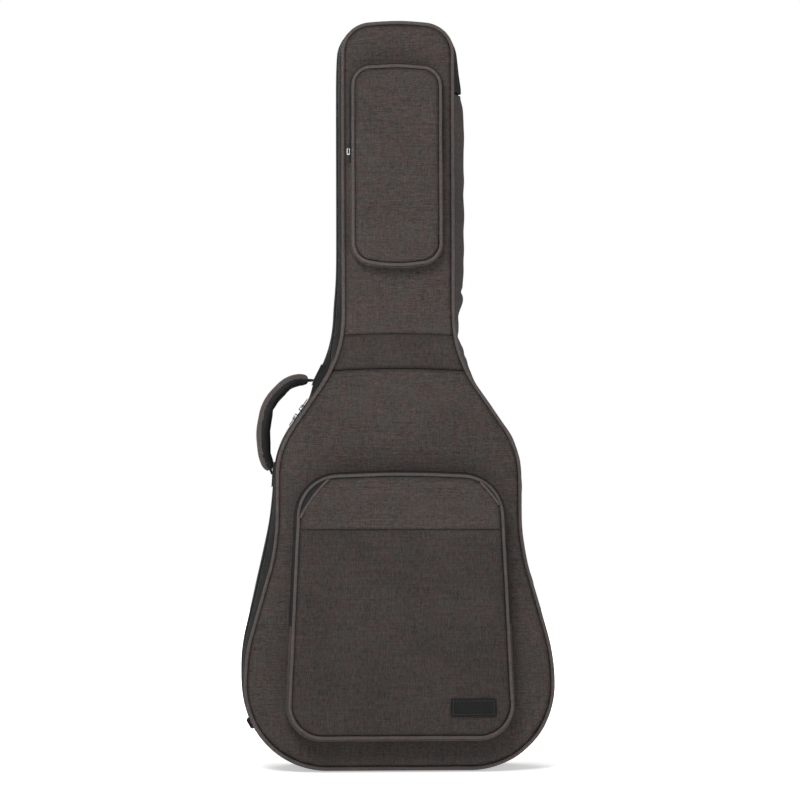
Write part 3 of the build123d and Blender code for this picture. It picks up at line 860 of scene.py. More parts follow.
def make_back():
    """The back panel, crowned over its foam."""
    border = even(SHELL_EDGE.moved(-PANEL_INSET), PANEL_STEP)

    def height(points):
        return -tucked(points, border, 0.0, 3.0, 61)

    cloth = panel("back_cloth", border, height, shell_point, "across", "heather_cloth", flip=True)
    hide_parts("back_panel")
    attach(cloth, "shell")


def make_lining():
    """Plush trays inside lid and shell, and the black bound rims where they meet."""

    def lid_row(inset, u):
        flat = LID_EDGE.moved(-inset)
        return lid_point(flat[:, 0], flat[:, 1], u)

    def shell_rim_row(inset, u):
        return lid_row(inset, -u)

    def shell_row(inset, w):
        flat = SHELL_EDGE.moved(-inset)
        return shell_point(flat[:, 0], flat[:, 1], w)

    section = ((1.9, 2.6), (2.3, 0.9), (4.5, 0.45), (8.0, 0.4), (11.5, 0.5), (13.4, 1.2))
    section += ((13.9, 4.0), (13.4, 7.0))
    for name, row, body, node, flip in (
        ("lid_rim", lid_row, "lid", "front_gusset_foam", False),
        ("shell_rim", shell_rim_row, "shell", "rear_gusset_foam", True),
    ):
        rows = [row(inset, u) for inset, u in section]
        rim = loft(name, rows, True, "nylon", "black_nylon", 0.6, flip=flip)
        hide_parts(node)
        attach(rim, body)

    deep = depth_at(SHELL_EDGE) - 5.5
    rows = [shell_row(WALL, deep)]
    for share in np.linspace(0.2, 1.0, 6):
        rows.append(shell_row(WALL + 0.6 * sin(pi * share), deep * (1 - share) + (WALL + 9.0) * share))
    rows += [shell_row(WALL + 2.0, WALL + 3.5), shell_row(WALL + 6.0, WALL + 0.8)]
    walls = loft("shell_lining", rows, True, "plush", "plush_lining", 1.0)
    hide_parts("back_lining")
    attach(walls, "shell")
    shell_border = even(SHELL_EDGE.moved(-WALL - 5.0), 9.0)

    def shell_floor(points):
        away = nearest(points, shell_border)
        uneven = 1.4 * ripple(points, 70.0, 71) * np.minimum(1, away / 30)
        return WALL + 1.2 + uneven + 1.5 * (1 - np.exp(-away / 20)) - 1.5

    looks = ("plush", "plush_lining")
    floor = panel("shell_lining_floor", shell_border, shell_floor, shell_point, *looks, step=11.0)
    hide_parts("back_panel_foam")
    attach(floor, "shell")
    rows = [lid_row(WALL, 5.0), lid_row(WALL + 0.2, 9.0), lid_row(WALL + 2.5, 12.2), lid_row(WALL + 6.0, 13.2)]
    walls = loft("lid_lining", rows, True, "plush", "plush_lining", 1.0, flip=True)
    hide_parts("front_lining")
    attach(walls, "lid")
    lid_border = even(LID_EDGE.moved(-WALL - 5.0), 9.0)

    def lid_floor(points):
        return 13.3 - 1.2 * ripple(points, 70.0, 75) * np.minimum(1, nearest(points, lid_border) / 30)

    floor = panel("lid_lining_floor", lid_border, lid_floor, lid_point, *looks, flip=True, step=11.0)
    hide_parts("front_panel_foam")
    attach(floor, "lid")


# ======================================================================================
# Pockets
# ======================================================================================


def pocket_rows(edge, levels, spread, seed, crinkles=0.5):
    """Rows of a pocket's side in the lid's axes; each level is (out, u), spread is (bulge, from u, to u)."""
    size, start, stop = spread
    rows = []
    for out, u in levels:
        share = min(1, max(0, (u - start) / (stop - start)))
        flat = np.column_stack([edge.points / 22.0, np.full(len(edge.points), u / 50.0)])
        stand = out + size * sin(pi * share) + crinkles * ripple(flat, 1.0, seed)
        line = edge.moved(stand)
        rows.append(lid_point(line[:, 0], line[:, 1], u))
    return rows


def make_pocket(name, edge, top, middle, fold, crown, bulge_size, seed):
    """A box pocket: gusset, bands, zipper, piping, and the cloth face."""
    y = edge.points[:, 1]
    overlap = 2.5
    lower = edge.part(y < fold + overlap)
    upper = edge.part(y > fold - overlap)
    spread = (bulge_size, FRONT, top)
    make_pocket_sides(name, lower, upper, top, middle, spread, seed)
    make_pocket_zipper(name, upper, top, middle, spread, seed)
    line = Edge(even(edge.points, PIPING_STEP))
    path = line.moved(-PIPING_INSET + wobble(line, seed + 1))
    where = lid_point(path[:, 0], path[:, 1], top - PIPING_INSET + wobble(line, seed + 2, 0.5))
    cord = tube(f"{name}_pocket_cord", where, 2.35, True, "piping", "piping_cloth", 12)
    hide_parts(f"{name}_pocket_piping", f"{name}_pocket_flap_piping")
    bend(cord, fold, top)
    make_pocket_face(name, edge, top, fold, crown, seed)


def make_pocket_sides(name, lower, upper, top, middle, spread, seed):
    """The heather gusset up to the fold, and above it the black bands on both sides of the zipper."""
    base = FRONT - 1.0
    rim = top - 6.0
    tape = 4.5
    levels = [(-1.0, base), (0.0, base + 2)] + [(0.0, u) for u in np.linspace(base + 5, rim - 3, 6)]
    levels += [(-0.6, rim - 0.5), (-3.2, rim + 2.0)]
    rows = pocket_rows(lower, levels, spread, seed)
    side = loft(f"{name}_pocket_side", rows, False, "across", "heather_cloth", 1.4)
    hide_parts(f"{name}_pocket_gusset")
    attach(side, "lid")
    levels = [(-1.0, base), (0.4, base + 2), (0.5, (base + middle) / 2), (0.7, middle - tape)]
    levels += [(-0.6, middle - tape + 0.6)]
    rows = pocket_rows(upper, levels, spread, seed, 0.2)
    band = loft(f"{name}_pocket_band", rows, False, "nylon", "black_nylon", 0.8)
    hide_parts(f"{name}_pocket_rear_band")
    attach(band, "lid")
    start = min(middle + tape, rim - 2.0)
    levels = [(-0.6, start - 0.6), (0.7, start), (0.5, (start + rim) / 2), (-0.3, rim - 0.5), (-3.2, rim + 2.0)]
    rows = pocket_rows(upper, levels, spread, seed, 0.2)
    band = loft(f"{name}_pocket_front_band", rows, False, "nylon", "black_nylon", 0.8)
    if name == "large":
        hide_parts("large_pocket_flap_band")
    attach(band, f"{name}_pocket_flap")


def make_pocket_zipper(name, upper, top, middle, spread, seed):
    """Tape and teeth on both sides of a pocket's zipper line; the rear tape reaches under the front one."""

    def place(fine, out, u):
        share = (u - FRONT) / (top - FRONT)
        line = fine.moved(out + spread[0] * sin(pi * share))
        return lid_point(line[:, 0], line[:, 1], u)

    for half, side, body in (("rear", -1, "lid"), ("flap", 1, f"{name}_pocket_flap")):
        under = (-2.3, middle + 0.6) if side < 0 else (-1.3, middle + 0.1)
        levels = [under, (-0.9, middle + side * 2.0), (-0.6, middle + side * 5.0)]
        rows = pocket_rows(upper, levels[::side], spread, seed, 0.0)
        strip = loft(f"{name}_pocket_{half}_tape", rows, False, "tape", "black_nylon", 0.4)
        teeth = zip_teeth(f"{name}_pocket_{half}_teeth", upper, side, place, middle)
        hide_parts(f"{name}_pocket_{half}_zipper")
        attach(strip, body)
        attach(teeth, body)


def make_pocket_face(name, edge, top, fold, crown, seed):
    """The cloth face; the large pocket's is cut at the yoke seam."""
    step = 4.5
    gap = 0.25
    border = even(edge.moved(-5.2), step)
    yoke = POCKET_YOKE if name == "large" else BEYOND
    # The large pocket's face takes the darker upright heather, whose extra darkness is painted shade.
    grain = "upright" if name == "large" else "across"

    def height(points):
        raised = tucked(points, border, top, crown, seed + 3, (), 40.0)
        return raised - 1.5 * np.exp(-np.abs(points[:, 1] - yoke) / 1.6)

    outline = between(border, -10.0, yoke - gap, step)
    cloth_name = f"{name}_pocket_cloth"
    cloth = panel(cloth_name, outline, height, lid_point, grain, "heather_cloth", step=POCKET_STEP)
    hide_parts(f"{name}_pocket_face", f"{name}_pocket_flap_face")
    bend(cloth, fold, top)
    if yoke < BEYOND:
        outline = between(border, yoke + gap, BEYOND, step)
        cloth_name = "large_pocket_yoke_cloth"
        cloth = panel(cloth_name, outline, height, lid_point, "across", "heather_cloth", step=POCKET_STEP)
        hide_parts("large_pocket_yoke")
        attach(cloth, "large_pocket_flap")


def bend(obj, fold, top):
    """Bakes a piece's placement into its mesh; the two points beside the fold are worked out but not used."""
    low = lid_point(0.0, fold - 12.0, top)
    high = lid_point(0.0, fold + 12.0, top)
    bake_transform(obj)


def make_wedges():
    """Black wedges outside the slanted accent piping of the large pocket's top corners."""
    top = POCKET_TOP + 0.2
    parts = []
    cords = []
    for side, low, x_in in ((-1, 364.0, 103.0), (1, 384.0, 116.0)):
        x, y = LARGE_EDGE.points.T
        arc = LARGE_EDGE.part((x * side > x_in) & (y > low))
        outer = arc.moved(-5.6)
        share = np.linspace(0, 1, len(outer))[:, None]
        chord = outer[0] * (1 - share) + outer[-1] * share
        inner = chord + (outer - chord) * 0.28
        rows = []
        for k in np.linspace(0, 1, 7):
            flat = outer * (1 - k) + inner * k
            rise = top - 3.2 * (1 - k) ** 6 + 0.5
            rows.append(lid_point(flat[:, 0], flat[:, 1], rise))
        parts.append(loft(f"wedge_{len(parts)}", rows, False, "nylon", "black_nylon", 0.8, flip=True))
        flat = even(inner, 3.0, False)
        where = lid_point(flat[:, 0], flat[:, 1], top + 0.9)
        cords.append(tube(f"accent_{len(cords)}", where, 1.9, False, "piping", "piping_cloth", 10))
    wedges = joined("corner_wedges", parts)
    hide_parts("large_pocket_wedges")
    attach(wedges, "large_pocket_flap")
    accents = joined("corner_piping", cords)
    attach(accents, "large_pocket_flap")


def make_label():
    """A blank woven patch with a stitched edge."""
    half_x, half_y = 33.0, 13.0
    corners = [(half_x, -half_y), (half_x, half_y), (-half_x, half_y), (-half_x, -half_y)]
    edge = Edge(even(rounded(corners, [2.0] * 4, 0.8), 1.5) + np.array([104.0, 92.0]))
    top = POCKET_TOP + LABEL_RISE
    rows = []
    for inset, rise in ((0.0, -0.9), (0.0, 0.3), (0.5, 0.7), (1.4, 0.75), (1.9, 0.45), (2.6, 0.4)):
        flat = edge.moved(-inset)
        rows.append(lid_point(flat[:, 0], flat[:, 1], top + rise))
    rim = loft("label_rim", rows, True, "label", "label_cloth")
    border = edge.moved(-2.6)

    def level(points):
        return np.full(len(points), top + 0.4)

    field = panel("label_field", border, level, lid_point, "label", "label_cloth", step=3.0, thickness=0.0)
    label = joined("blank_label", [rim, field])
    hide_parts("woven_label")
    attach(label, "lid")

    def on_label(x, y):
        return lid_point(x, y, top + 0.55)

    stitched = stitch_line("label_stitches", edge.moved(-3.4), on_label, (0, -1, 0))
    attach(stitched, "lid")


def stitches(name, where, out, closed=False):
    """Separate stitches centred on points in the row frame."""
    along = np.roll(where, -1, 0) - np.roll(where, 1, 0)
    if not closed:
        along[0], along[-1] = where[1] - where[0], where[-1] - where[-2]
    along /= np.linalg.norm(along, axis=1)[:, None]
    normal = np.broadcast_to(np.array(out, float), where.shape)
    across = np.cross(normal, along)
    across /= np.linalg.norm(across, axis=1)[:, None]
    up = np.cross(along, across)
    return rows_of(name, where, along, across, up, (1.3, 0.42, 0.6), "thread", "black_nylon")


def stitch_line(name, line, place, out):
    """Separate stitches along a closed flat line."""
    flat = even(line, STITCH_STEP)
    return stitches(name, place(flat[:, 0], flat[:, 1]), out, True)


# ======================================================================================
# Handle, straps and inside
# ======================================================================================


def make_handle():
    """The padded grip, heather outside and black inside, with its webbing and sewn patches."""
    line = rounded(HANDLE_LINE + (HANDLE_FOOT,), HANDLE_RADII + (60.0,), 2.0, False)
    edge = Edge(even(line, 3.0, False), False)
    points, faces = grip_shape(edge)
    grip = piece("handle_grip_cloth", points, faces, "nylon", "black_nylon")
    swell(grip, 3.2, 2.2)
    dress_grip(grip, edge)
    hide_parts("handle_grip")
    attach(grip, "carry_handle")

    web_path = [(-113.0, 566.5), (-122.0, 568.5), *[tuple(p) for p in edge.points[::4]], (-183.5, 430.0)]
    path = np.array([(x, HANDLE_Y, z) for x, z in web_path])
    wide = np.full(len(path), 8.5)
    wide[[0, 1, -1]] = 4.0, 6.0, 4.0
    web = tube("handle_web", path, wide, False, "webbing", "webbing", 12, 0.3)
    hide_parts("handle_webbing")
    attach(web, "carry_handle")
    make_patches()


def grip_shape(edge):
    """A rounded bar along the handle's line, narrowing to its webbing at both ends."""
    end_wide, end_thick, sides = 8.0, 5.6, 28
    ends = np.minimum(edge.reached, edge.reached[-1] - edge.reached)
    ease = np.clip(ends / 30.0, 0, 1)
    ease = ease * ease * (3 - 2 * ease)
    half_wide = end_wide + (HANDLE_WIDTH / 2 - end_wide) * ease
    half_thick = end_thick + (HANDLE_THICK / 2 - end_thick) * np.clip(ends / 10.0, 0, 1) ** 0.6
    points = []
    for k in range(sides):
        a = 2 * pi * k / sides
        across = copysign(abs(cos(a)) ** 0.75, cos(a)) * half_thick
        deep = copysign(abs(sin(a)) ** 0.8, sin(a)) * half_wide
        x = edge.points[:, 0] + edge.out[:, 0] * across
        z = edge.points[:, 1] + edge.out[:, 1] * across
        points.append(np.stack([x, HANDLE_Y + deep, z], -1))
    points = np.stack(points, 1).reshape(-1, 3)
    faces = []
    count = len(edge.points)
    for i in range(count - 1):
        for k in range(sides):
            m = (k + 1) % sides
            faces.append([i * sides + k, (i + 1) * sides + k, (i + 1) * sides + m, i * sides + m])
    faces.append(list(range(sides)))
    faces.append([(count - 1) * sides + k for k in reversed(range(sides))])
    return points, faces


def dress_grip(grip, edge):
    """Heather on the grip's outer half, a groove at the join, and fine folds inside the bend."""
    grip.data.materials.clear()
    grip.data.materials.append(MATERIALS["nylon"])
    grip.data.materials.append(MATERIALS["piping"])
    flat = edge.points
    where = places(grip)
    index = np.argmin(np.hypot(where[:, None, 0] - flat[None, :, 0], where[:, None, 2] - flat[None, :, 1]), 1)
    stand = ((where[:, [0, 2]] - flat[index]) * edge.out[index]).sum(1)
    outer = stand > 2.6
    for face in grip.data.polygons:
        face.material_index = int(outer[face.vertices[0]])
    groove = near(stand, 2.2, 0.9) * 0.7
    middle = np.column_stack([flat[index, 0], np.full(len(where), HANDLE_Y), flat[index, 1]])
    inward = middle - where
    inward /= np.maximum(np.linalg.norm(inward, axis=1), 1e-6)[:, None]
    along = np.column_stack([edge.reached[index] / 7.0, where[:, 1] / 40.0])
    folds = 0.5 * ripple(along, 1.0, 91) * (stand < 0)
    move_to(grip, where + inward * (groove + folds)[:, None])
    grip.data.shade_smooth()


def make_patches():
    """Two sewn patches, wrapped on the gusset, that hold the handle's ends."""
    parts = []
    sewn = []
    x, z = SHELL_EDGE.points.T
    reach = PATCH_WIDTH / 2
    facing = np.array([-1.0, 0.0, 0.3])
    section = ((-1.0, 0.2), (-1.0, 1.3), (-0.96, PATCH_STAND), (-0.5, PATCH_STAND), (0.0, PATCH_STAND))
    section += ((0.5, PATCH_STAND), (0.96, PATCH_STAND), (1.0, 1.3), (1.0, 0.2))
    for low, high in PATCHES:
        edge = SHELL_EDGE.part((x < 0) & (z > low) & (z < high))
        split = SPLIT_Y + edge.points[:, 1] * tan(TILT)

        def on_side(y, out, edge=edge, split=split):
            return side_point(edge, out, split - y)

        rows = [on_side(HANDLE_Y - along * reach, rise) for along, rise in section]
        parts.append(loft(f"patch_{len(parts)}", rows, False, "nylon", "black_nylon", 1.2))
        for inset in (3.0, 5.5, PATCH_WIDTH - 5.5, PATCH_WIDTH - 3.0):
            line = on_side(HANDLE_Y - reach + inset, PATCH_STAND + 0.2)
            sewn.append(stitches(f"patch_sew_{len(sewn)}", even(line, STITCH_STEP, False), facing))
        for end in (1, -2):
            line = np.array([row[end] for row in rows[2:7]]) + np.array([-0.3, 0.0, 0.1])
            sewn.append(stitches(f"patch_sew_{len(sewn)}", even(line, STITCH_STEP, False), facing))
    patches = joined("handle_patch_pair", parts)
    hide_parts("handle_patches")
    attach(patches, "shell")
    threads = joined("handle_patch_stitches", sewn)
    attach(threads, "shell")


def cushion(name, edge, low, high, place, crown, step=6.0):
    """A closed black pad: a flat shape with rounded sides between two heights."""
    half = (high - low) / 2
    middle = (high + low) / 2
    steepest = 80
    rows = []
    for a in np.linspace(-steepest, steepest, 9):
        inset = half * (1 - cos(radians(a)))
        flat = edge.moved(-inset)
        rows.append(place(flat[:, 0], flat[:, 1], middle + half * sin(radians(a))))
    parts = [loft(name + "_side", rows, True, "nylon", "black_nylon")]
    border = edge.moved(-half * (1 - cos(radians(steepest))))
    level = half * sin(radians(steepest))
    for sign in (-1, 1):

        def height(points, sign=sign):
            return middle + sign * (level + crown * (1 - np.exp(-nearest(points, border) / 12.0)))

        flip = sign < 0
        face_name = f"{name}_{sign + 1}"
        parts.append(panel(face_name, border, height, place, "nylon", "black_nylon", flip, 0.0, step))
    return joined(name, parts)


def anticlockwise(line):
    """The closed line, turned so that its outward side is on its right."""
    area = np.sum(line[:, 0] * np.roll(line[:, 1], -1) - line[:, 1] * np.roll(line[:, 0], -1))
    return line if area > 0 else line[::-1].copy()


def strap_edge():
    """The pad's outline seen square on, x and z."""
    top, end = np.array(STRAP_TOP), np.array(STRAP_END)
    way = (end - top) / np.linalg.norm(end - top)
    side = np.array([-way[1], way[0]]) * PAD_HALF
    corners = [top + side, top - side, end - side, end + side]
    line = rounded([tuple(c) for c in corners], [PAD_RADIUS] * 4, 1.5)
    return Edge(even(anticlockwise(line), 4.0))


def make_straps():
    """Both backpack straps: pad, bound edge, buckle, webbing and root."""
    edge = strap_edge()
    for name, sign in (("right", 1), ("left", -1)):

        def place(a, b, h, sign=sign):
            a, b, h = np.broadcast_arrays(a, b, h)
            return np.stack([a * sign, BACK_Y + h, b], -1)

        slim = Edge(edge.moved(-1.0))
        pad = cushion(f"strap_pad_cloth_{name}", slim, PAD_BACK, PAD_FRONT, place, 0.8)
        swell(pad, 4.0, 2.2)
        fix_normals(pad)
        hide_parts(f"strap_pad_{name}")
        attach(pad, f"strap_pad_{name}")
        rim = edge.moved(-0.6)
        where = place(rim[:, 0], rim[:, 1], 9.0)
        trim = tube(f"strap_binding_{name}", where, 1.9, True, "webbing", "webbing", 8)
        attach(trim, f"strap_pad_{name}")
        make_buckle(name, sign)
        make_strap_web(name, sign)
        make_strap_root(name, sign)
    make_tabs()


def fix_normals(obj):
    """Turns a closed mesh's faces outwards."""
    mesh = bmesh.new()
    mesh.from_mesh(obj.data)
    bmesh.ops.remove_doubles(mesh, verts=mesh.verts, dist=0.0002)
    bmesh.ops.recalc_face_normals(mesh, faces=mesh.faces)
    mesh.to_mesh(obj.data)
    mesh.free()
    obj.data.shade_smooth()


def make_buckle(name, sign):
    """A ladder-lock buckle: a frame with two cross bars, held by a short webbing loop."""
    half_long, half_wide = 9.6, 15.2
    end = np.array(STRAP_END)
    down = (np.array(TAB_CENTRE) - end) / np.linalg.norm(np.array(TAB_CENTRE) - end)
    across = np.array([-down[1], down[0]])
    level = BACK_Y + 15.0 + 2.1
    centre = end - down * 3.0

    def at(a, b, h=0.0):
        p = centre + down * a + across * b
        return np.array([p[0] * sign, level + h, p[1]])

    corners = [(-half_long, -half_wide), (half_long, -half_wide)]
    corners += [(half_long, half_wide), (-half_long, half_wide)]
    loop = even(rounded(corners, [4.0] * 4, 1.0), 1.6)
    path = [at(a, b) for a, b in loop]
    parts = [tube(f"buckle_frame_{name}", path, 1.75, True, "plastic", "buckle_plastic", 10)]
    for number, a in enumerate((-3.4, 3.6)):
        bar = [at(a, b, 0.3) for b in np.linspace(-14.5, 14.5, 9)]
        parts.append(tube(f"buckle_bar_{name}_{number}", bar, 1.5, False, "plastic", "buckle_plastic", 10))
    buckle = joined(f"ladder_buckle_{name}", parts)
    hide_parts(f"strap_buckle_{name}")
    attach(buckle, f"strap_pad_{name}")
    holder = [at(a, 0.0, h) for a, h in ((-30, -1.9), (-20, -1.5), (-12, 0.6), (-9.6, 1.7), (-6.5, 0.6))]
    web = ribbon(f"buckle_holder_{name}", holder, [across[0] * sign, 0, across[1]], WEB_WIDTH, 1.6)
    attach(web, f"strap_pad_{name}")


def ribbon(name, path, across, width, thick):
    """Flat webbing along a path in the row frame."""
    path = np.asarray(path, float)
    along = np.gradient(path, axis=0)
    along /= np.linalg.norm(along, axis=1)[:, None]
    across = np.broadcast_to(np.asarray(across, float), path.shape)
    across = across - along * (along * across).sum(1)[:, None]
    across /= np.linalg.norm(across, axis=1)[:, None]
    out = np.cross(along, across)
    section = ((-0.5, -0.3), (-0.47, -0.5), (0.0, -0.5), (0.47, -0.5), (0.5, -0.3))
    section += ((0.5, 0.3), (0.47, 0.5), (0.0, 0.5), (-0.47, 0.5), (-0.5, 0.3))
    points = np.stack([path + across * width * a + out * thick * b for a, b in section], 1).reshape(-1, 3)
    sides = len(section)
    faces = []
    for i in range(len(path) - 1):
        for k in range(sides):
            m = (k + 1) % sides
            faces.append([i * sides + k, (i + 1) * sides + k, (i + 1) * sides + m, i * sides + m])
    faces.append(list(range(sides)))
    faces.append([(len(path) - 1) * sides + k for k in reversed(range(sides))])
    made = piece(name, points, faces, "webbing", "webbing")
    fix_normals(made)
    return made


def make_strap_web(name, sign):
    """The webbing from a pad's buckle down to its tab, sagging a little."""
    past_buckle = 20.0
    tab = np.array([TAB_CENTRE[0], BACK_Y + 6.7, TAB_CENTRE[1]])
    top = np.array([STRAP_END[0], BACK_Y + 20.8, STRAP_END[1]])
    way = (top - tab) / np.linalg.norm(top - tab)
    reach = np.linalg.norm(top - tab) + past_buckle
    path = []
    for s in np.linspace(2.0, reach, 34):
        sag = 3.0 * sin(pi * min(1.0, s / (reach - past_buckle)))
        p = tab + way * s
        path.append((p[0] * sign, p[1] + sag, p[2]))
    across = np.cross(way, [0.0, 1.0, 0.0])
    web = ribbon(f"strap_web_{name}", path, [across[0] * sign, 0.0, across[2]], WEB_WIDTH, WEB_THICK)
    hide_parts(f"strap_webbing_{name}")
    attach(web, f"strap_webbing_{name}")


def make_strap_root(name, sign):
    """The webbing that carries a pad's top out of its sewn anchor."""
    x, z = STRAP_TOP
    path = [(sign * (x - 1.5), BACK_Y + 3.6, z + 26.0), (sign * (x - 0.6), BACK_Y + 3.8, z + 14.0)]
    path += [(sign * x, BACK_Y + 4.6, z + 6.0), (sign * (x + 0.8), BACK_Y + 6.6, z - 2.0)]
    path += [(sign * (x + 1.8), BACK_Y + 8.4, z - 10.0), (sign * (x + 3.4), BACK_Y + 8.8, z - 22.0)]
    root = ribbon(f"strap_root_{name}", path, [1.0, 0.0, 0.0], ROOT_WIDTH, ROOT_THICK)
    low, high = (sign * x, BACK_Y + 4.0, z - 6.0), (sign * x, BACK_Y + 4.0, z + 8.0)
    np.array(high) * MM
    np.array(low) * MM
    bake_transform(root)


def make_tabs():
    """Cloth tabs in the lower corners' back seam, and the sewn anchors at the straps' tops."""
    radius = OUTLINE_RADII[0]
    centre = np.array([LOWER_HALF - radius, radius])
    out = np.array(TAB_CENTRE) - centre
    out /= np.linalg.norm(out)
    side = np.array([-out[1], out[0]])
    root = centre + out * (radius - TAB_DEEP)
    tip = centre + out * (radius + TAB_PROUD)
    root_half, tip_half = side * TAB_ROOT_HALF, side * TAB_TIP_HALF
    tab = patch_edge([root - root_half, tip - tip_half, tip + tip_half, root + root_half], 3.0)
    parts = [flat_patch(f"tab_{sign}", tab, sign, 0.8, 3.1) for sign in (1, -1)]
    tabs = joined("strap_tab_pair", parts)
    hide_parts("strap_tabs")
    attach(tabs, "shell")
    x, z = STRAP_TOP
    top, low = np.array([x - 4, z + 48.0]), np.array([x + 1, z + 8.0])
    way = (low - top) / np.linalg.norm(low - top)
    side = np.array([-way[1], way[0]]) * ANCHOR_HALF
    patch = patch_edge([top + side, top - side, low - side, low + side], 5.0)
    parts = [flat_patch(f"anchor_{sign}", patch, sign, 0.2, 2.3) for sign in (1, -1)]
    anchors = joined("strap_anchor_pair", parts)
    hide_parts("strap_anchors")
    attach(anchors, "shell")

    def on_anchor(a, b):
        return shell_point(a, b, -2.4)

    sewn = []
    for sign in (1, -1):
        for inset in (3.0, 5.2):
            line = patch.moved(-inset) * np.array([sign, 1.0])
            sewn.append(stitch_line(f"anchor_sew_{sign}_{inset:.0f}", line, on_anchor, (0, 1, 0)))
    threads = joined("strap_anchor_stitches", sewn)
    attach(threads, "shell")


def patch_edge(corners, radius):
    """A sewn patch's outline from its four corners."""
    return Edge(even(rounded([tuple(c) for c in corners], [radius] * 4, 1.0), 2.5))


def flat_patch(name, edge, sign, low, high):
    """A thin sewn piece of cloth lying on the back, between two heights over it."""

    def place(a, b, h):
        a, b, h = np.broadcast_arrays(a, b, h)
        return np.stack([a * sign, BACK_Y + h, b], -1)

    made = cushion(name, Edge(anticlockwise(edge.points)), low, high, place, 0.1, 5.0)
    fix_normals(made)
    return made


def make_inside():
    """The neck cradle, a padded block with a saddle, and its strap."""
    inner = BACK_Y - WALL
    rows = []
    for z in np.linspace(-CRADLE_HIGH / 2, CRADLE_HIGH / 2, 15):
        row = []
        round_z = min(1.0, (CRADLE_HIGH / 2 - abs(z)) / 7.0)
        for x in np.linspace(-CRADLE_HALF, CRADLE_HALF, 33):
            round_x = min(1.0, (CRADLE_HALF - abs(x)) / 7.0)
            top = CRADLE_DEEP * (0.72 + 0.28 * quarter(round_x)) * (0.8 + 0.2 * quarter(round_z))
            if abs(x) < SADDLE_RADIUS:
                top = min(top, CRADLE_DEEP + 4.0 - (SADDLE_RADIUS**2 - x**2) ** 0.5 + 1.0)
            row.append((x * (0.985 + 0.015 * round_z), inner - max(top, 3.0), CRADLE_Z + z))
        rows.append(np.array(row))
    base_low, base_high = rows[0].copy(), rows[-1].copy()
    base_low[:, 1] = inner - 0.5
    base_high[:, 1] = inner - 0.5
    block = loft("cradle_pad", [base_low, *rows, base_high, base_low], False, "plush", "plush_lining")
    fix_normals(block)
    close_ends(block)
    smooth(block)
    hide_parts("neck_cradle")
    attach(block, "shell")
    y = inner - CRADLE_DEEP - 2.2
    path = [(x, y + 0.8 * cos(pi * x / 56.0), CRADLE_Z) for x in np.linspace(-55.5, 55.5, 23)]
    strap = ribbon("neck_strap_web", path, (0, 0, 1), 37.0, 1.8)
    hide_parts("neck_strap")
    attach(strap, "neck_strap")


def quarter(value):
    """A quarter circle's rise from 0 to 1."""
    return (1 - (1 - value) ** 2) ** 0.5


def close_ends(obj):
    """Closes a mesh's open ends."""
    mesh = bmesh.new()
    mesh.from_mesh(obj.data)
    bmesh.ops.holes_fill(mesh, edges=[e for e in mesh.edges if e.is_boundary], sides=0)
    bmesh.ops.recalc_face_normals(mesh, faces=mesh.faces)
    mesh.to_mesh(obj.data)
    mesh.free()


def dress_sliders():
    """The sliders and pulls keep the model's own shapes and get their metal."""
    for name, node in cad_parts.items():
        if "slider" not in name and "pull" not in name:
            continue
        bright = name == "head_pocket_slider"
        node.data.materials.clear()
        node.data.materials.append(MATERIALS["bright_metal" if bright else "dark_metal"])


# ======================================================================================
# Floor, light and camera
# ======================================================================================


def make_floor():
    """A round pale floor that glows more with distance, so that it meets the surround evenly."""
    points = [(0.0, 0.0, FLOOR_Z)]
    for radius in FLOOR_RINGS:
        for k in range(FLOOR_SIDES):
            a = 2 * pi * k / FLOOR_SIDES
            points.append((radius * cos(a), radius * sin(a), FLOOR_Z))
    faces = [[0, 1 + k, 1 + (k + 1) % FLOOR_SIDES] for k in range(FLOOR_SIDES)]
    for ring in range(len(FLOOR_RINGS) - 1):
        first = 1 + ring * FLOOR_SIDES
        second = first + FLOOR_SIDES
        for k in range(FLOOR_SIDES):
            m = (k + 1) % FLOOR_SIDES
            faces.append([first + k, second + k, second + m, first + m])
    mesh = bpy.data.meshes.new("floor")
    mesh.from_pydata(points, [], faces)
    floor = bpy.data.objects.new("floor", mesh)
    made = Nodes("pale_floor", 0.9, 0.1)
    grain = made.noise(3.0, 2.0)
    made.colour(made.ramp(grain, ((0.3, (0.90, 0.90, 0.895)), (0.7, (0.93, 0.93, 0.93)))))
    made.shader.inputs["Emission Color"].default_value = (1.0, 1.0, 1.0, 1.0)
    away = made.add("ShaderNodeVectorMath", {0: made.place}, operation="LENGTH").outputs["Value"]
    glows = {"Value": away, 1: GLOW_FROM, 2: GLOW_TO, 3: GLOW_NEAR, 4: GLOW_FAR}
    glow = made.add("ShaderNodeMapRange", glows).outputs[0]
    made.tree.links.new(glow, made.shader.inputs["Emission Strength"])
    mesh.materials.append(made.material)
    bpy.context.scene.collection.objects.link(floor)


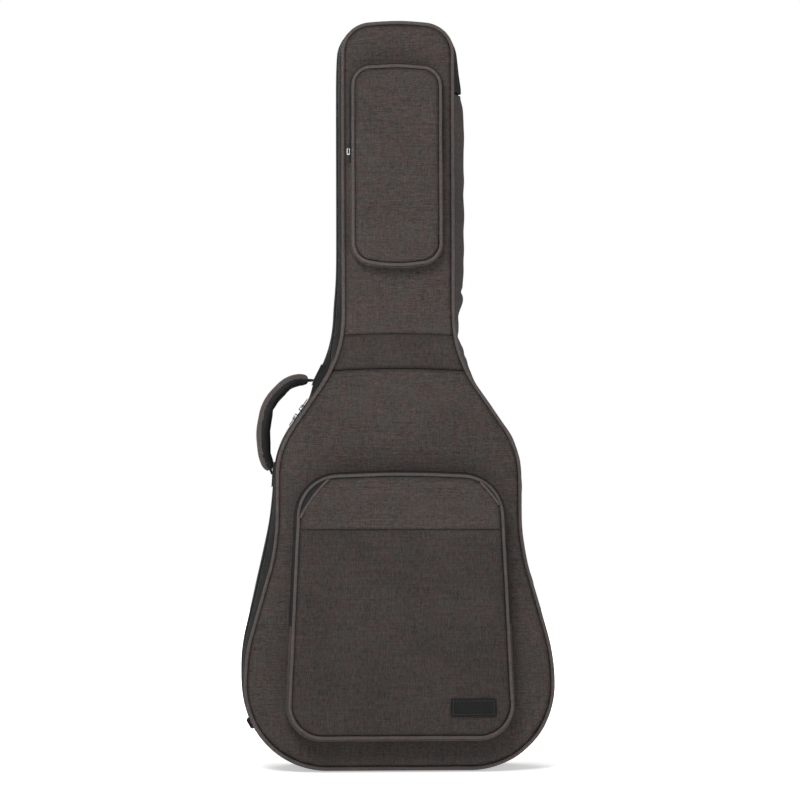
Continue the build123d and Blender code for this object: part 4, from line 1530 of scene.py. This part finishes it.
def make_surround():
    """Soft light from all round, seen as plain white."""
    world = bpy.data.worlds.new("studio")
    bpy.context.scene.world = world
    world.use_nodes = True
    tree = world.node_tree
    soft = tree.nodes["Background"]
    soft.inputs["Color"].default_value = (1.0, 1.0, 1.0, 1.0)
    soft.inputs["Strength"].default_value = SURROUND_LIGHT
    plain = tree.nodes.new("ShaderNodeBackground")
    plain.inputs["Color"].default_value = (1.0, 1.0, 1.0, 1.0)
    seen = tree.nodes.new("ShaderNodeLightPath")
    chosen = tree.nodes.new("ShaderNodeMixShader")
    tree.links.new(seen.outputs["Is Camera Ray"], chosen.inputs[0])
    tree.links.new(soft.outputs[0], chosen.inputs[1])
    tree.links.new(plain.outputs[0], chosen.inputs[2])
    tree.links.new(chosen.outputs[0], tree.nodes["World Output"].inputs["Surface"])


def make_lights():
    """Four soft square lamps, aimed at the middle of the bag."""
    for name, place, size, power in LIGHTS:
        lamp = bpy.data.lights.new(name, "AREA")
        lamp.energy = power
        lamp.size = size
        holder = bpy.data.objects.new(name, lamp)
        holder.location = place
        aim = Vector(LIGHT_TARGET) - Vector(place)
        holder.rotation_euler = aim.to_track_quat("-Z", "Y").to_euler()
        bpy.context.scene.collection.objects.link(holder)


def make_camera():
    """Square to the front, from slightly to the left."""
    target = Vector(CAMERA_TARGET)
    turn = radians(CAMERA_TURN)
    camera = bpy.data.cameras.new("camera")
    camera.lens = CAMERA_LENS
    camera.sensor_width = CAMERA_SENSOR
    holder = bpy.data.objects.new("camera", camera)
    holder.location = target + Vector((-sin(turn), -cos(turn), 0.0)) * CAMERA_DISTANCE
    holder.rotation_euler = (target - holder.location).to_track_quat("-Z", "Y").to_euler()
    bpy.context.scene.collection.objects.link(holder)
    bpy.context.scene.camera = holder


make_floor()
make_surround()
make_lights()
make_camera()
make_front()
make_bag_piping()
make_sides()
make_hinge()
make_back()
make_lining()
make_pocket("large", LARGE_EDGE, POCKET_TOP, POCKET_ZIP, POCKET_FOLD, 3.5, 2.5, 100)
make_pocket("head", HEAD_EDGE, HEAD_TOP, HEAD_ZIP, HEAD_FOLD, 2.0, 1.0, 120)
make_wedges()
make_label()
make_handle()
make_straps()
make_inside()
dress_sliders()
bpy.context.scene.view_settings.view_transform = "Standard"
